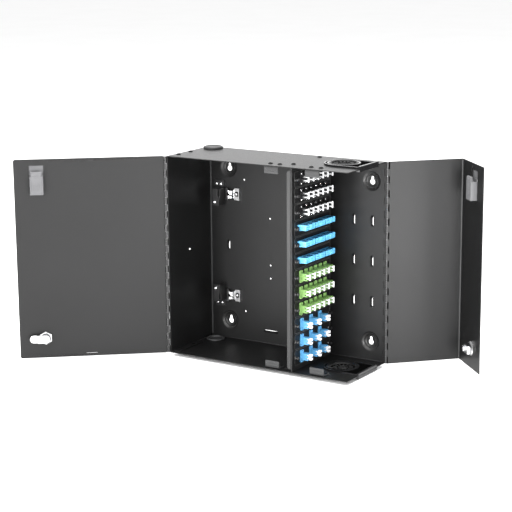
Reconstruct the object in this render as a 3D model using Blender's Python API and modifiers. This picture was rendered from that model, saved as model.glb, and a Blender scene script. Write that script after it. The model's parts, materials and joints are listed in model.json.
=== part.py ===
"""Wall-mount fibre termination box: a folded steel cabinet with two doors on piano hinges, a bulkhead
that carries twelve adapter panels, slide latches, cam locks, cable entries and cable clamps.

Frame: the origin is the centre of the back panel's rear face. +X is right, +Y points to the wall and
+Z is up, so the doors are on the -Y side. Dimensions are in millimetres and the scene is in metres.
"""

from math import cos, pi, radians, sin

import bmesh
import bpy
from mathutils import Matrix, Vector

MM = 0.001

# Cabinet
WIDTH = 388.0
HEIGHT = 382.0
DEPTH = 145.0
SHEET = 1.5
GAP = 0.3  # between pieces that touch
LEFT, RIGHT = -WIDTH / 2, WIDTH / 2
FRONT, BACK = -DEPTH, 0.0
BOTTOM, TOP = -HEIGHT / 2, HEIGHT / 2
BEND_RADIUS = 2.4

# Wall feet: dished steps that stand behind the back panel, each with a keyhole
FOOT_X = (LEFT + 44.0, RIGHT - 30.5)
FOOT_Z = 152.4
FOOT_DEPTH = 4.0
KEYHOLE_RADIUS = 5.2
KEYHOLE_SLOT_WIDTH = 5.4
KEYHOLE_SLOT_RISE = 8.0

# Bulkhead and adapter panels
BULKHEAD_X = LEFT + 272.0  # its right face, where the panels sit
BULKHEAD_LIP = 9.7
BULKHEAD_FLANGE = 22.0
PANEL_COUNT = 12
PANEL_PITCH = 30.2
PANEL_SIZE = (1.5, 130.0, 29.4)
PANEL_Y = FRONT + 72.5
PANEL_MIDDLE_Z = 1.0
WINDOW_SIZE = (101.0, 22.0)
PLUNGER_SPACING = 120.6
PLUNGER_RADIUS = 3.6

# Doors, as they lie when closed
DOOR_GAP = 1.4  # from the cabinet's front edge to a door's inner face
DOOR_INNER_Y = FRONT - DOOR_GAP
DOOR_OUTER_Y = DOOR_INNER_Y - SHEET
LEFT_DOOR_EDGE = LEFT + 280.0
RIGHT_DOOR_EDGE = LEFT + 282.5
RIGHT_DOOR_X = RIGHT + 1.7  # inner face of its side panel
DOOR_CORNER = 4.0
LEFT_DOOR_ANGLE = -140.3
RIGHT_DOOR_ANGLE = 134.8

# Piano hinges
KNUCKLE_COUNT = 29
KNUCKLE_RADIUS = 2.2
KNUCKLE_BORE = 1.5
PIN_RADIUS = 1.1
HINGE_LEAF = 0.8
HINGE_WIDTH = 9.5
HINGE_END = 2.2  # from a hinge's end to the cabinet's top or bottom
KNUCKLE_GAP = 0.4
LEFT_AXIS = (LEFT - 2.5, FRONT - 1.6)
RIGHT_AXIS = (RIGHT + 2.5, -2.0)

# Latches, locks and their strikes. Places are (x, z) with the door closed
LATCHES = {"left": (LEFT + 238.0, BOTTOM + 341.0), "right": (LEFT + 326.5, BOTTOM + 341.0)}
LOCKS = {"left": (LEFT + 231.0, BOTTOM + 39.0), "right": (LEFT + 325.0, BOTTOM + 39.0)}
STRIKES = {
    "strike_top_left": (LEFT + 226.5, 1),
    "strike_top_right": (LEFT + 312.0, 1),
    "strike_bottom_left": (LEFT + 227.0, -1),
    "strike_bottom_right": (LEFT + 322.0, -1),
}
STRIKE_WIDTH = 29.5
STRIKE_DROP = 14.0
STRIKE_Y = FRONT + 4.5
STRIKE_BASE = 20.0
LATCH_DEPTH = 13.4
LATCH_HALF_WIDTH = 12.3
SLIDER_HALF_WIDTH = 10.0
LATCH_TRAVEL = 9.0
LOCK_RADIUS = 9.3
CAM_REACH = 30.0
CAM_WIDTH = 15.0

# Cable entries and blind plugs
ENTRY_CENTRE = (LEFT + 336.0, FRONT + 78.0)
ENTRY_RADIUS = 36.0
ENTRY_NECK = 33.7
ENTRY_LIP = 35.0
ENTRY_HOLE = 27.0
MEMBRANE_HOLE = 8.0
PLUG_CENTRE = (LEFT + 24.0, FRONT + 121.0)
PLUG_RADIUS = 19.0
PLUG_NECK = 16.7

# Cable clamps on the back panel, above and below the middle
CLAMP_Z = 101.0
CLAMP_HEIGHT = 23.0
CLAMP_X = LEFT + 47.5
SADDLE_RADIUS = 9.0
BRACKET_Z = 97.0

parts = bpy.data.collections.new("fiber_termination_box")
cutters = bpy.data.collections.new("cutters")


# ---------------------------------------------------------------- tools


def clear_scene():
    for obj in list(bpy.data.objects):
        bpy.data.objects.remove(obj, do_unlink=True)
    bpy.context.scene.collection.children.link(parts)
    bpy.context.scene.collection.children.link(cutters)


def material(name, colour, roughness, metallic=0.0):
    made = bpy.data.materials.new(name)
    made.use_nodes = True
    shader = made.node_tree.nodes["Principled BSDF"]
    shader.inputs["Base Color"].default_value = (*colour, 1.0)
    shader.inputs["Roughness"].default_value = roughness
    shader.inputs["Metallic"].default_value = metallic
    return made


def tool_object(mesh):
    """An unnamed solid that is still being built. It lies in the cutters' collection until it is placed."""
    obj = bpy.data.objects.new("tool", mesh)
    cutters.objects.link(obj)
    obj.hide_render = True
    obj.display_type = "WIRE"
    return obj


def from_bmesh(bm):
    mesh = bpy.data.meshes.new("solid")
    bm.to_mesh(mesh)
    bm.free()
    return tool_object(mesh)


def box(low, high):
    """A block between two corners, in millimetres."""
    low, high = Vector(low), Vector(high)
    size = (high - low) * MM
    bm = bmesh.new()
    place = Matrix.Translation((low + high) * MM / 2) @ Matrix.Diagonal((*size, 1.0))
    bmesh.ops.create_cube(bm, size=1.0, matrix=place)
    return from_bmesh(bm)


AXIS_TURNS = {
    "X": Matrix.Rotation(pi / 2, 4, "Y"),
    "Y": Matrix.Rotation(-pi / 2, 4, "X"),
    "Z": Matrix.Identity(4),
}


def cylinder(centre, axis, radius, low, high, sides=24, turn=0.0):
    """A round bar along one axis. centre is its place in the other two, in X, Y, Z order."""
    middle = list(centre)
    middle.insert("XYZ".index(axis), (low + high) / 2)
    place = Matrix.Translation(Vector(middle) * MM) @ AXIS_TURNS[axis] @ Matrix.Rotation(turn, 4, "Z")
    bm = bmesh.new()
    bmesh.ops.create_cone(
        bm,
        cap_ends=True,
        segments=sides,
        radius1=radius * MM,
        radius2=radius * MM,
        depth=(high - low) * MM,
        matrix=place,
    )
    return from_bmesh(bm)


def baked(obj):
    """The object with its modifiers, or its curve, turned into a plain mesh in place."""
    graph = bpy.context.evaluated_depsgraph_get()
    mesh = bpy.data.meshes.new_from_object(obj.evaluated_get(graph))
    made = tool_object(mesh)
    made.matrix_world = obj.matrix_world
    bpy.data.objects.remove(obj)
    return made


def applied(obj):
    """Moves the object's own transform into its mesh."""
    obj.data.transform(obj.matrix_world)
    obj.matrix_world = Matrix.Identity(4)
    return obj


def flat_outline(points, thickness, place):
    """A flat outline given thickness on both sides of the plane that place sets."""
    curve = bpy.data.curves.new("outline", "CURVE")
    curve.dimensions = "2D"
    curve.fill_mode = "BOTH"
    curve.extrude = thickness * MM / 2
    spline = curve.splines.new("POLY")
    spline.points.add(len(points) - 1)
    spline.use_cyclic_u = True
    for point, (x, y) in zip(spline.points, points):
        point.co = (x * MM, y * MM, 0.0, 1.0)
    made = tool_object(curve)
    made.matrix_world = place
    bpy.context.view_layer.update()
    made = applied(baked(made))
    bm = bmesh.new()
    bm.from_mesh(made.data)
    bmesh.ops.remove_doubles(bm, verts=bm.verts, dist=1e-6)
    bmesh.ops.recalc_face_normals(bm, faces=bm.faces)
    bm.to_mesh(made.data)
    bm.free()
    return made


def turned(profile, place, sides=24):
    """A profile of (radius, height), from the top down its outer side, turned about local Z."""
    bm = bmesh.new()
    corners = [bm.verts.new((radius * MM, 0.0, height * MM)) for radius, height in profile]
    for first, second in zip(corners, corners[1:]):
        bm.edges.new((first, second))
    made = from_bmesh(bm)
    screw = made.modifiers.new("turn", "SCREW")
    screw.steps = sides
    screw.render_steps = sides
    screw.use_merge_vertices = True
    screw.merge_threshold = 0.00001
    made.matrix_world = place
    bpy.context.view_layer.update()
    return applied(baked(made))


def combine(base, tools, operation):
    for tool in tools:
        step = base.modifiers.new("combine", "BOOLEAN")
        step.operation = operation
        step.solver = "EXACT"
        step.object = tool
        bpy.context.view_layer.update()
        base = baked(base)
        bpy.data.objects.remove(tool)
    return base


def joined(base, *tools):
    return combine(base, tools, "UNION")


def cut(base, *tools):
    return combine(base, tools, "DIFFERENCE")


def round_edges(obj, radius, chosen, segments=3):
    """Rounds the edges that the test chosen(a, b) picks by their two ends, in millimetres."""
    bm = bmesh.new()
    bm.from_mesh(obj.data)
    picked = [edge for edge in bm.edges if chosen(*(vert.co / MM for vert in edge.verts))]
    bmesh.ops.bevel(
        bm,
        geom=picked,
        offset=radius * MM,
        offset_type="OFFSET",
        segments=segments,
        profile=0.5,
        affect="EDGES",
    )
    bm.to_mesh(obj.data)
    bm.free()
    return obj


def along(axis):
    """A test for edges that run along one axis."""
    others = [i for i in range(3) if i != "XYZ".index(axis)]
    return lambda a, b: all(abs(a[i] - b[i]) < 0.01 for i in others)


def placed(obj, name, look, parent=None, smooth=True):
    """Names a finished solid, gives it its material and moves it to the object's collection."""
    obj.name = name
    obj.data.name = name
    obj.data.materials.clear()
    obj.data.materials.append(look)
    cutters.objects.unlink(obj)
    parts.objects.link(obj)
    obj.hide_render = False
    obj.display_type = "TEXTURED"
    if smooth:
        obj.data.shade_smooth()
        obj.data.set_sharp_from_angle(angle=radians(35))
    if parent:
        obj.parent = parent
        obj.matrix_parent_inverse = parent.matrix_world.inverted()
    return obj


def copied(obj, name, offset, parent=None):
    """A further piece of the same shape, offset in millimetres."""
    made = bpy.data.objects.new(name, obj.data)
    parts.objects.link(made)
    made.location = Vector(offset) * MM
    if parent:
        made.parent = parent
        made.matrix_parent_inverse = parent.matrix_world.inverted()
    return made


def pivot(name, place, parent=None):
    """An empty on a joint's axis. The pieces that move with it are its children."""
    empty = bpy.data.objects.new(name, None)
    empty.empty_display_size = 0.02
    parts.objects.link(empty)
    empty.location = Vector(place) * MM
    bpy.context.view_layer.update()
    if parent:
        empty.parent = parent
        empty.matrix_parent_inverse = parent.matrix_world.inverted()
        bpy.context.view_layer.update()
    return empty


def arc(centre, radius, start, end, steps):
    """Points on an arc, from start to end in degrees."""
    angles = [radians(start + (end - start) * i / steps) for i in range(steps + 1)]
    return [(centre[0] + radius * cos(a), centre[1] + radius * sin(a)) for a in angles]


def bridge(centre, along_axis, length, width, rise, face, inward):
    """A lanced bridge on a sheet whose face is at y = face: a strap that stands rise off it, and the slot
    behind the strap. inward is the direction of +1 or -1 along Y in which the strap stands."""
    x, z = centre
    half = Vector((length / 2, 0, width / 2)) if along_axis == "X" else Vector((width / 2, 0, length / 2))
    inset = Vector((1.2, 0, -1.0)) if along_axis == "X" else Vector((-1.0, 0, 1.2))

    def block(shrink, y0, y1):
        low = Vector((x, 0, z)) - half + shrink
        high = Vector((x, 0, z)) + half - shrink
        low.y, high.y = min(y0, y1), max(y0, y1)
        return box(low, high)

    strap = block(Vector(), face - inward * 0.6, face + inward * rise)
    hollow = block(inset, face - inward, face + inward * (rise - 1.0))
    slot_inset = Vector((1.2, 0, 0)) if along_axis == "X" else Vector((0, 0, 1.2))
    slot = block(slot_inset, face - inward * (SHEET + 1), face + inward * 0.01)
    return cut(strap, hollow), slot


# ---------------------------------------------------------------- cabinet


def entry_slot(side):
    """The cut in the top or bottom panel that a cable entry slides into."""
    z = side * TOP
    x, y = ENTRY_CENTRE
    radius = ENTRY_NECK + GAP
    return (
        cylinder((x, y), "Z", radius, z - 5, z + 5, sides=32),
        box((x, y - radius, z - 5), (RIGHT + 5, y + radius, z + 5)),
    )


def foot_pieces(x, z):
    """A wall foot's outer shape, its hollow and its keyhole."""
    place = Matrix.Translation(Vector((x, 0.0, z)) * MM) @ Matrix.Rotation(-pi / 2, 4, "X")
    outer = [(0, FOOT_DEPTH), (12.5, FOOT_DEPTH), (14, 2), (18, 2), (19.5, -0.2), (0, -0.2)]
    inner = [(0, 2.5), (11.2, 2.5), (12.7, 0.5), (16.8, 0.5), (18.3, -SHEET - 1), (0, -SHEET - 1)]
    slot_half = KEYHOLE_SLOT_WIDTH / 2
    keyhole = (
        cylinder((x, z - 2), "Y", KEYHOLE_RADIUS, -3, 8, sides=14),
        box((x - slot_half, -3, z - 2), (x + slot_half, 8, z - 2 + KEYHOLE_SLOT_RISE)),
        cylinder((x, z - 2 + KEYHOLE_SLOT_RISE), "Y", slot_half, -3, 8, sides=12),
    )
    return turned(outer, place, 18), turned(inner, place, 18), keyhole


def build_shell(look):
    """The back, top and bottom panels, folded from one sheet."""
    shell = box((LEFT, FRONT, BOTTOM), (RIGHT, BACK, TOP))
    rear = lambda a, b: along("X")(a, b) and a.y > -1.0
    shell = round_edges(shell, BEND_RADIUS, rear)
    hollow = box((LEFT - 5, FRONT - 5, BOTTOM + SHEET), (RIGHT + 5, BACK - SHEET, TOP - SHEET))
    inner_bend = lambda a, b: along("X")(a, b) and a.y > -SHEET - 1.0
    shell = cut(shell, round_edges(hollow, BEND_RADIUS - SHEET, inner_bend))
    for x in FOOT_X:
        for z in (-FOOT_Z, FOOT_Z):
            outer, inner, keyhole = foot_pieces(x, z)
            shell = cut(joined(shell, outer), inner, *keyhole)
    for side in (-1, 1):
        plug_hole = cylinder(PLUG_CENTRE, "Z", PLUG_NECK + GAP, side * TOP - 5, side * TOP + 5, sides=24)
        shell = cut(shell, plug_hole, *entry_slot(side))
    bridges = [((LEFT + 43.0, BOTTOM + 190.5), "Z", 19.0), ((LEFT + 139.0, BOTTOM + 27.0), "X", 31.0)]
    for x in (LEFT + 321.0, LEFT + 360.0):
        for z in (115.5, 193.0, 269.0):
            bridges.append(((x, BOTTOM + z), "Z", 20.5))
    for centre, axis, length in bridges:
        strap, slot = bridge(centre, axis, length, 4.2, 3.0, -SHEET, -1)
        shell = joined(cut(shell, slot), strap)
    for x, z in ((79.5, 322.0), (137.6, 251.0), (138.3, 159.0), (138.3, 133.0), (80.5, 60.5)):
        shell = cut(shell, cylinder((LEFT + x, BOTTOM + z), "Y", 1.7, -5, 5, sides=8))
    return placed(shell, "chassis_shell", look)


def build_left_side(look):
    """The left wall, with a flange under the top panel and one on the bottom panel."""
    reach = HEIGHT / 2 - SHEET - GAP
    back_edge = BACK - SHEET - GAP
    wall = box((LEFT, FRONT, -reach), (LEFT + SHEET, back_edge, reach))
    for side in (-1, 1):
        low, high = sorted((side * reach, side * (reach - SHEET)))
        wall = joined(wall, box((LEFT, FRONT + 5, low), (LEFT + 15, FRONT + 90, high)))
    return placed(wall, "left_side_panel", look)


def build_bulkhead(look):
    """The upright between the two compartments, with a window behind each adapter panel."""
    reach = HEIGHT / 2 - SHEET - GAP
    back_edge = BACK - SHEET - GAP
    wall = box((BULKHEAD_X - SHEET, FRONT, -reach), (BULKHEAD_X, back_edge, reach))
    lip = box((BULKHEAD_X - BULKHEAD_LIP, FRONT, 5 - reach), (BULKHEAD_X, FRONT + SHEET, reach - 5))
    wall = joined(wall, round_edges(lip, 4.0, lambda a, b: along("Y")(a, b) and a.x < BULKHEAD_X - 5))
    for side in (-1, 1):
        low, high = sorted((side * reach, side * (reach - SHEET)))
        flange_left = BULKHEAD_X - BULKHEAD_FLANGE
        wall = joined(wall, box((flange_left, FRONT + 12, low), (BULKHEAD_X, back_edge, high)))
    half_y, half_z = WINDOW_SIZE[0] / 2, WINDOW_SIZE[1] / 2
    for z in panel_heights():
        window = box(
            (BULKHEAD_X - 5, PANEL_Y - half_y, z - half_z), (BULKHEAD_X + 5, PANEL_Y + half_y, z + half_z)
        )
        wall = cut(wall, window)
        for end in (-1, 1):
            centre = (PANEL_Y + end * PLUNGER_SPACING / 2, z)
            wall = cut(wall, cylinder(centre, "X", 2.5, BULKHEAD_X - 5, BULKHEAD_X + 5, sides=6))
    return placed(wall, "bulkhead", look)


def build_strikes(look):
    """Angle brackets at the opening's top and bottom that the latches and cams reach behind."""
    for name, (x, side) in STRIKES.items():
        inner = side * (HEIGHT / 2 - SHEET - GAP)
        half = STRIKE_WIDTH / 2
        base_low, base_high = sorted((inner, inner - side * SHEET))
        tab_low, tab_high = sorted((inner, inner - side * STRIKE_DROP))
        base = box((x - half, STRIKE_Y, base_low), (x + half, STRIKE_Y + STRIKE_BASE, base_high))
        tab = box((x - half, STRIKE_Y, tab_low), (x + half, STRIKE_Y + SHEET, tab_high))
        placed(joined(base, tab), name, look)


def build_plugs(look):
    """Blind rubber plugs in the top and bottom panels."""
    sheet = SHEET + 2 * GAP
    profile = [
        (0, 4.5),
        (PLUG_RADIUS - 3, 4.5),
        (PLUG_RADIUS - 0.8, 3.6),
        (PLUG_RADIUS, 2.0),
        (PLUG_RADIUS, 0),
        (PLUG_NECK, 0),
        (PLUG_NECK, -sheet),
        (PLUG_RADIUS - 0.8, -sheet),
        (PLUG_NECK - 0.5, -sheet - 3.0),
        (PLUG_NECK - 3, -sheet - 3.0),
        (PLUG_NECK - 3, -sheet - 0.6),
        (0, -sheet - 0.6),
    ]
    for name, side in (("plug_top_left", 1), ("plug_bottom_left", -1)):
        face = Vector((*PLUG_CENTRE, side * (TOP + GAP))) * MM
        flip = Matrix.Rotation(0.0 if side > 0 else pi, 4, "X")
        placed(turned(profile, Matrix.Translation(face) @ flip, sides=20), name, look)


def build_entry(name, side, frame_look, rubber_look):
    """A cable entry: a D-shaped frame that slides onto the panel's edge from the right, with a lip at
    its right end, and a rubber membrane with a hole for the cables."""
    x, y = ENTRY_CENTRE
    slide = pivot(name + "_slide", (RIGHT, y, side * TOP))

    def plate(radius, low, high):
        outline = [(RIGHT, y - radius), *arc((x, y), radius, 270, 90, 14), (RIGHT, y + radius)]
        low, high = sorted((side * low, side * high))
        place = Matrix.Translation((0, 0, (low + high) * MM / 2))
        return flat_outline(outline, high - low, place)

    def lip(low, high):
        low, high = sorted((side * low, side * high))
        return box((RIGHT - 4, y - ENTRY_LIP, low), (RIGHT, y + ENTRY_LIP, high))

    frame = joined(
        plate(ENTRY_NECK, TOP - 3, TOP + 2),
        plate(ENTRY_RADIUS, TOP + GAP, TOP + 3.3),
        plate(ENTRY_RADIUS, TOP - SHEET - GAP - 2.6, TOP - SHEET - GAP),
        lip(TOP + GAP, TOP + 4.6),
        lip(TOP - 5.2, TOP - SHEET - GAP),
    )
    low, high = sorted((side * (TOP - 10), side * (TOP + 10)))
    seat_low, seat_high = sorted((side * TOP, side * (TOP + 10)))
    frame = cut(
        frame,
        cylinder((x, y), "Z", ENTRY_HOLE - 2.5, low, high, sides=28),
        cylinder((x, y), "Z", ENTRY_HOLE, seat_low, seat_high, sides=28),
    )
    placed(frame, name + "_frame", frame_look, slide)
    profile = [
        (MEMBRANE_HOLE, 1.2),
        (ENTRY_HOLE - 7, 3.0),
        (ENTRY_HOLE - 3, 4.4),
        (ENTRY_HOLE - GAP, 3.8),
        (ENTRY_HOLE - GAP, GAP),
        (ENTRY_HOLE - 2.5 - GAP, GAP),
        (ENTRY_HOLE - 2.5 - GAP, -3.0),
        (ENTRY_HOLE - 5, -3.0),
        (MEMBRANE_HOLE, -0.4),
        (MEMBRANE_HOLE, 1.2),
    ]
    face = Matrix.Translation(Vector((x, y, side * TOP)) * MM)
    flip = Matrix.Rotation(0.0 if side > 0 else pi, 4, "X")
    placed(turned(profile, face @ flip, sides=24), name + "_membrane", rubber_look, slide)


# ---------------------------------------------------------------- adapters


def panel_heights():
    """The panels' centres, from the top row to the bottom row."""
    middle = (PANEL_COUNT - 1) / 2
    return [PANEL_MIDDLE_Z + (middle - row) * PANEL_PITCH for row in range(PANEL_COUNT)]


def adapter_panel(places, *stages):
    """One adapter panel about its own centre, with an adapter at each of the places along it. A stage of an
    adapter is its width, bottom, top, start and end, the last two being from the panel's rear face."""
    thick, length, height = PANEL_SIZE
    panel = box((0, -length / 2, -height / 2), (thick, length / 2, height / 2))
    for end in (-1, 1):
        centre = (end * PLUNGER_SPACING / 2, 0)
        head = cylinder(centre, "X", PLUNGER_RADIUS, thick - 0.2, thick + 7.0, sides=8)
        shank = cylinder(centre, "X", 1.9, -5.0, thick, sides=6)
        panel = joined(panel, head, shank)
    for y in places:
        for width, bottom, top, start, end in stages:
            panel = joined(panel, box((start, y - width / 2, bottom), (end, y + width / 2, top)))
    return panel


def lc_panel(places, reach, cap_width, cap_height, cap_reach):
    """A panel of duplex LC adapters, each with a flange and with a pair of dust caps."""
    half_cap = cap_height / 2
    return adapter_panel(
        places,
        (9.4, -6.5, 6.5, -14.0, reach),
        (9.4, -11.5, 11.5, 1.3, 3.9),
        (cap_width, -half_cap, half_cap, reach - 1.0, cap_reach),
    )


def sc_panel(places):
    """A panel of duplex SC adapters on their side, each with an ear along its top and plugs in its ports."""
    return adapter_panel(
        places,
        (26.6, -4.65, 4.65, -14.0, 6.0),
        (36.0, 3.4, 7.4, 1.3, 6.0),
        (34.8, -3.0, 7.4, 5.4, 19.6),
        (30.0, -1.6, 5.2, 19.0, 20.2),
    )


def build_panels(looks):
    """Twelve panels: duplex LC in three rows, duplex SC, duplex LC in green, and three LC a panel in blue."""
    six = [(i - 2.5) * 17.4 for i in range(6)]
    three_sc = [(i - 1) * 36.4 for i in range(3)]
    three_lc = [(i - 1) * 32.6 - 8.0 for i in range(3)]
    black = lc_panel(six, 12.0, 3.0, 12.6, 20.2)
    blue = sc_panel(three_sc)
    green = lc_panel(six, 17.5, 3.6, 11.4, 22.8)
    sparse = lc_panel(three_lc, 18.0, 4.0, 11.8, 25.0)
    kinds = [
        (black, looks["black_plastic"]),
        (blue, looks["blue_plastic"]),
        (green, looks["green_plastic"]),
        (sparse, looks["blue_plastic"]),
    ]
    for row, z in enumerate(panel_heights()):
        kind, within = divmod(row, 3)
        shape, look = kinds[kind]
        name = f"adapter_panel_{row + 1:02d}"
        offset = (BULKHEAD_X + GAP, PANEL_Y, z)
        if within == 0:
            placed(shape, name, look)
            shape.location = Vector(offset) * MM
        else:
            copied(shape, name, offset)


# ---------------------------------------------------------------- cable clamps


def build_clamps(bracket_look, clamp_look):
    """Two cable clamps. Each is a raised bracket with a bright saddle clamp at its right."""
    for name, side in (("upper", 1), ("lower", -1)):
        back = BACK - SHEET - GAP
        z = side * BRACKET_Z

        def block(x0, x1, y0, y1, z0, z1):
            low, high = sorted((z + side * z0, z + side * z1))
            return box((LEFT + x0, y0, low), (LEFT + x1, y1, high))

        bracket = joined(
            block(20, 35, back - 21.5, back - 20, -18, 15),
            block(33.5, 35, back - 21.5, back, -18, 15),
            block(31, 35, back - SHEET, back, -18, 29),
            block(12, 35, back - SHEET, back, 17, 29),
        )
        placed(bracket, "clamp_bracket_" + name, bracket_look)
        middle = side * CLAMP_Z
        half = CLAMP_HEIGHT / 2
        saddle = joined(
            cylinder((CLAMP_X, back), "Z", SADDLE_RADIUS, middle - half, middle + half, sides=24),
            box((CLAMP_X + 6, back - SHEET, middle - half), (LEFT + 70, back, middle + half)),
        )
        saddle = cut(
            saddle,
            cylinder((CLAMP_X, back), "Z", SADDLE_RADIUS - SHEET, middle - 20, middle + 20, sides=24),
            box((CLAMP_X - 20, back, middle - 20), (CLAMP_X + 40, back + 20, middle + 20)),
            cylinder((CLAMP_X, middle - half - 6), "Y", 9.0, back - 20, back + 5, sides=20),
            cylinder((CLAMP_X, middle + half + 6), "Y", 9.0, back - 20, back + 5, sides=20),
        )
        screw = cylinder((LEFT + 63, middle), "Y", 3.4, back - SHEET - 2.2, back - 0.5, sides=16)
        placed(joined(saddle, screw), "cable_clamp_" + name, clamp_look)


# ---------------------------------------------------------------- doors


def build_doors(look):
    """The flat left door and the right door, whose one sheet is both side wall and front flange."""
    left = box((LEFT_AXIS[0] + 2.5, DOOR_OUTER_Y, BOTTOM), (LEFT_DOOR_EDGE, DOOR_INNER_Y, TOP))
    left = round_edges(left, DOOR_CORNER, lambda a, b: along("Y")(a, b) and a.x > 0)
    outer = RIGHT_DOOR_X + SHEET
    right = box((RIGHT_DOOR_EDGE, DOOR_OUTER_Y, BOTTOM), (outer, RIGHT_AXIS[1] - 2.6, TOP))
    bend = lambda a, b: along("Z")(a, b) and a.x > RIGHT and a.y < FRONT
    right = round_edges(right, BEND_RADIUS, bend)
    hollow = box((RIGHT_DOOR_EDGE - 5, DOOR_INNER_Y, BOTTOM - 5), (RIGHT_DOOR_X, 5, TOP + 5))
    right = cut(right, round_edges(hollow, BEND_RADIUS - SHEET, bend))
    for side, door in (("left", left), ("right", right)):
        x, z = LATCHES[side]
        wide = LATCH_HALF_WIDTH + GAP
        slot = box((x - wide, DOOR_OUTER_Y - 5, z - 24.8), (x + wide, DOOR_INNER_Y + 5, z + 28.5))
        round_hole = cylinder(
            LOCKS[side], "Y", LOCK_RADIUS + GAP, DOOR_OUTER_Y - 5, DOOR_INNER_Y + 5, sides=28
        )
        door = cut(door, slot, round_hole)
        if side == "left":
            lances = [((LEFT + 145.0, end * (TOP - 4.6)), "X", 27.0) for end in (-1, 1)]
        else:
            lances = [((LEFT + 339.0, TOP - 12.5), "Z", 13.0)]
        for centre, axis, length in lances:
            strap, opening = bridge(centre, axis, length, 3.6, 2.2, DOOR_INNER_Y, 1)
            door = joined(cut(door, opening), strap)
        if side == "left":
            left = door
        else:
            right = door
    left_pivot = pivot("left_door_pivot", (*LEFT_AXIS, 0))
    right_pivot = pivot("right_door_pivot", (*RIGHT_AXIS, 0))
    placed(left, "left_door", look, left_pivot)
    placed(right, "right_door", look, right_pivot)
    return left_pivot, right_pivot


def build_hinge(side, axis, frame_leaf, door_leaf, frame_web, door_web, door_pivot, look, pin_look):
    """A piano hinge: two leaves with alternate knuckles, and the pin. Each leaf and web is ((x0, y0),
    (x1, y1)); a web joins the leaf to its own knuckles only."""
    length = HEIGHT - 2 * HINGE_END
    pitch = length / KNUCKLE_COUNT
    start = BOTTOM + HINGE_END
    for name, leaf, web, first, parent in (
        ("frame", frame_leaf, frame_web, 0, None),
        ("door", door_leaf, door_web, 1, door_pivot),
    ):
        (x0, y0), (x1, y1) = leaf
        made = box((x0, y0, start), (x1, y1, start + length))
        for knuckle in range(first, KNUCKLE_COUNT, 2):
            low = start + knuckle * pitch + KNUCKLE_GAP / 2
            high = low + pitch - KNUCKLE_GAP
            (wx0, wy0), (wx1, wy1) = web
            barrel = cut(
                cylinder(axis, "Z", KNUCKLE_RADIUS, low, high, sides=8),
                cylinder(axis, "Z", KNUCKLE_BORE, low - 1, high + 1, sides=6),
            )
            made = joined(made, box((wx0, wy0, low), (wx1, wy1, high)), barrel)
        placed(made, f"{side}_hinge_{name}_leaf", look, parent)
    pin = cylinder(axis, "Z", PIN_RADIUS, start, start + length, sides=8)
    placed(pin, f"{side}_hinge_pin", pin_look)


def build_hinges(left_pivot, right_pivot, look, pin_look):
    x, y = LEFT_AXIS
    build_hinge(
        "left",
        LEFT_AXIS,
        frame_leaf=((LEFT - GAP - HINGE_LEAF, FRONT + 0.5), (LEFT - GAP, FRONT + HINGE_WIDTH)),
        door_leaf=((LEFT + 0.5, DOOR_INNER_Y + GAP), (LEFT + HINGE_WIDTH, DOOR_INNER_Y + GAP + HINGE_LEAF)),
        frame_web=((LEFT - GAP - HINGE_LEAF, y + 0.9), (LEFT - GAP, FRONT + 1.0)),
        door_web=((x + 1.5, DOOR_INNER_Y + GAP), (LEFT + 1.0, DOOR_INNER_Y + GAP + HINGE_LEAF)),
        door_pivot=left_pivot,
        look=look,
        pin_look=pin_look,
    )
    x, y = RIGHT_AXIS
    back = BACK - SHEET - GAP
    side_face = RIGHT_DOOR_X - GAP
    build_hinge(
        "right",
        RIGHT_AXIS,
        frame_leaf=((RIGHT - HINGE_WIDTH, back - HINGE_LEAF), (RIGHT - 0.2, back)),
        door_leaf=((side_face - HINGE_LEAF, y - 2.8 - HINGE_WIDTH), (side_face, y - 2.8)),
        frame_web=((RIGHT - 1.0, back - HINGE_LEAF), (x - 1.5, back)),
        door_web=((side_face - HINGE_LEAF, y - 3.5), (side_face, y - 1.2)),
        door_pivot=right_pivot,
        look=look,
        pin_look=pin_look,
    )


# ---------------------------------------------------------------- latches and locks


def build_latch(side, door_pivot, look):
    """A slide latch: a housing fixed in the door, and a slider whose tongue rises behind the strike."""
    x, z = LATCHES[side]
    y = DOOR_OUTER_Y
    wide = LATCH_HALF_WIDTH

    def block(half, y0, y1, z0, z1):
        return box((x - half, y + y0, z + z0), (x + half, y + y1, z + z1))

    housing = joined(block(wide, -0.8, LATCH_DEPTH, -24.5, 9.5), block(15.5, -1.5, -GAP, -28, 32))
    housing = cut(
        housing,
        block(SLIDER_HALF_WIDTH + GAP, 3.0, 11.9, -19.3, 20),
        block(8.5, -3.0, 3.1, -10, 13.5),
    )
    placed(housing, f"{side}_latch_housing", look, door_pivot)
    slide = pivot(f"{side}_latch_slide", (x, y, z), door_pivot)
    slider = joined(
        block(SLIDER_HALF_WIDTH, 3.3, 11.6, -19, 9.2),
        block(SLIDER_HALF_WIDTH, 9.4, LATCH_DEPTH, 9.8, 18.5),
        block(SLIDER_HALF_WIDTH, 9.4, 11.6, 9.0, 10.0),
        block(8.0, -2.5, 3.5, -9.5, 4.0),
    )
    placed(slider, f"{side}_latch_slider", look, slide)


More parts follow.
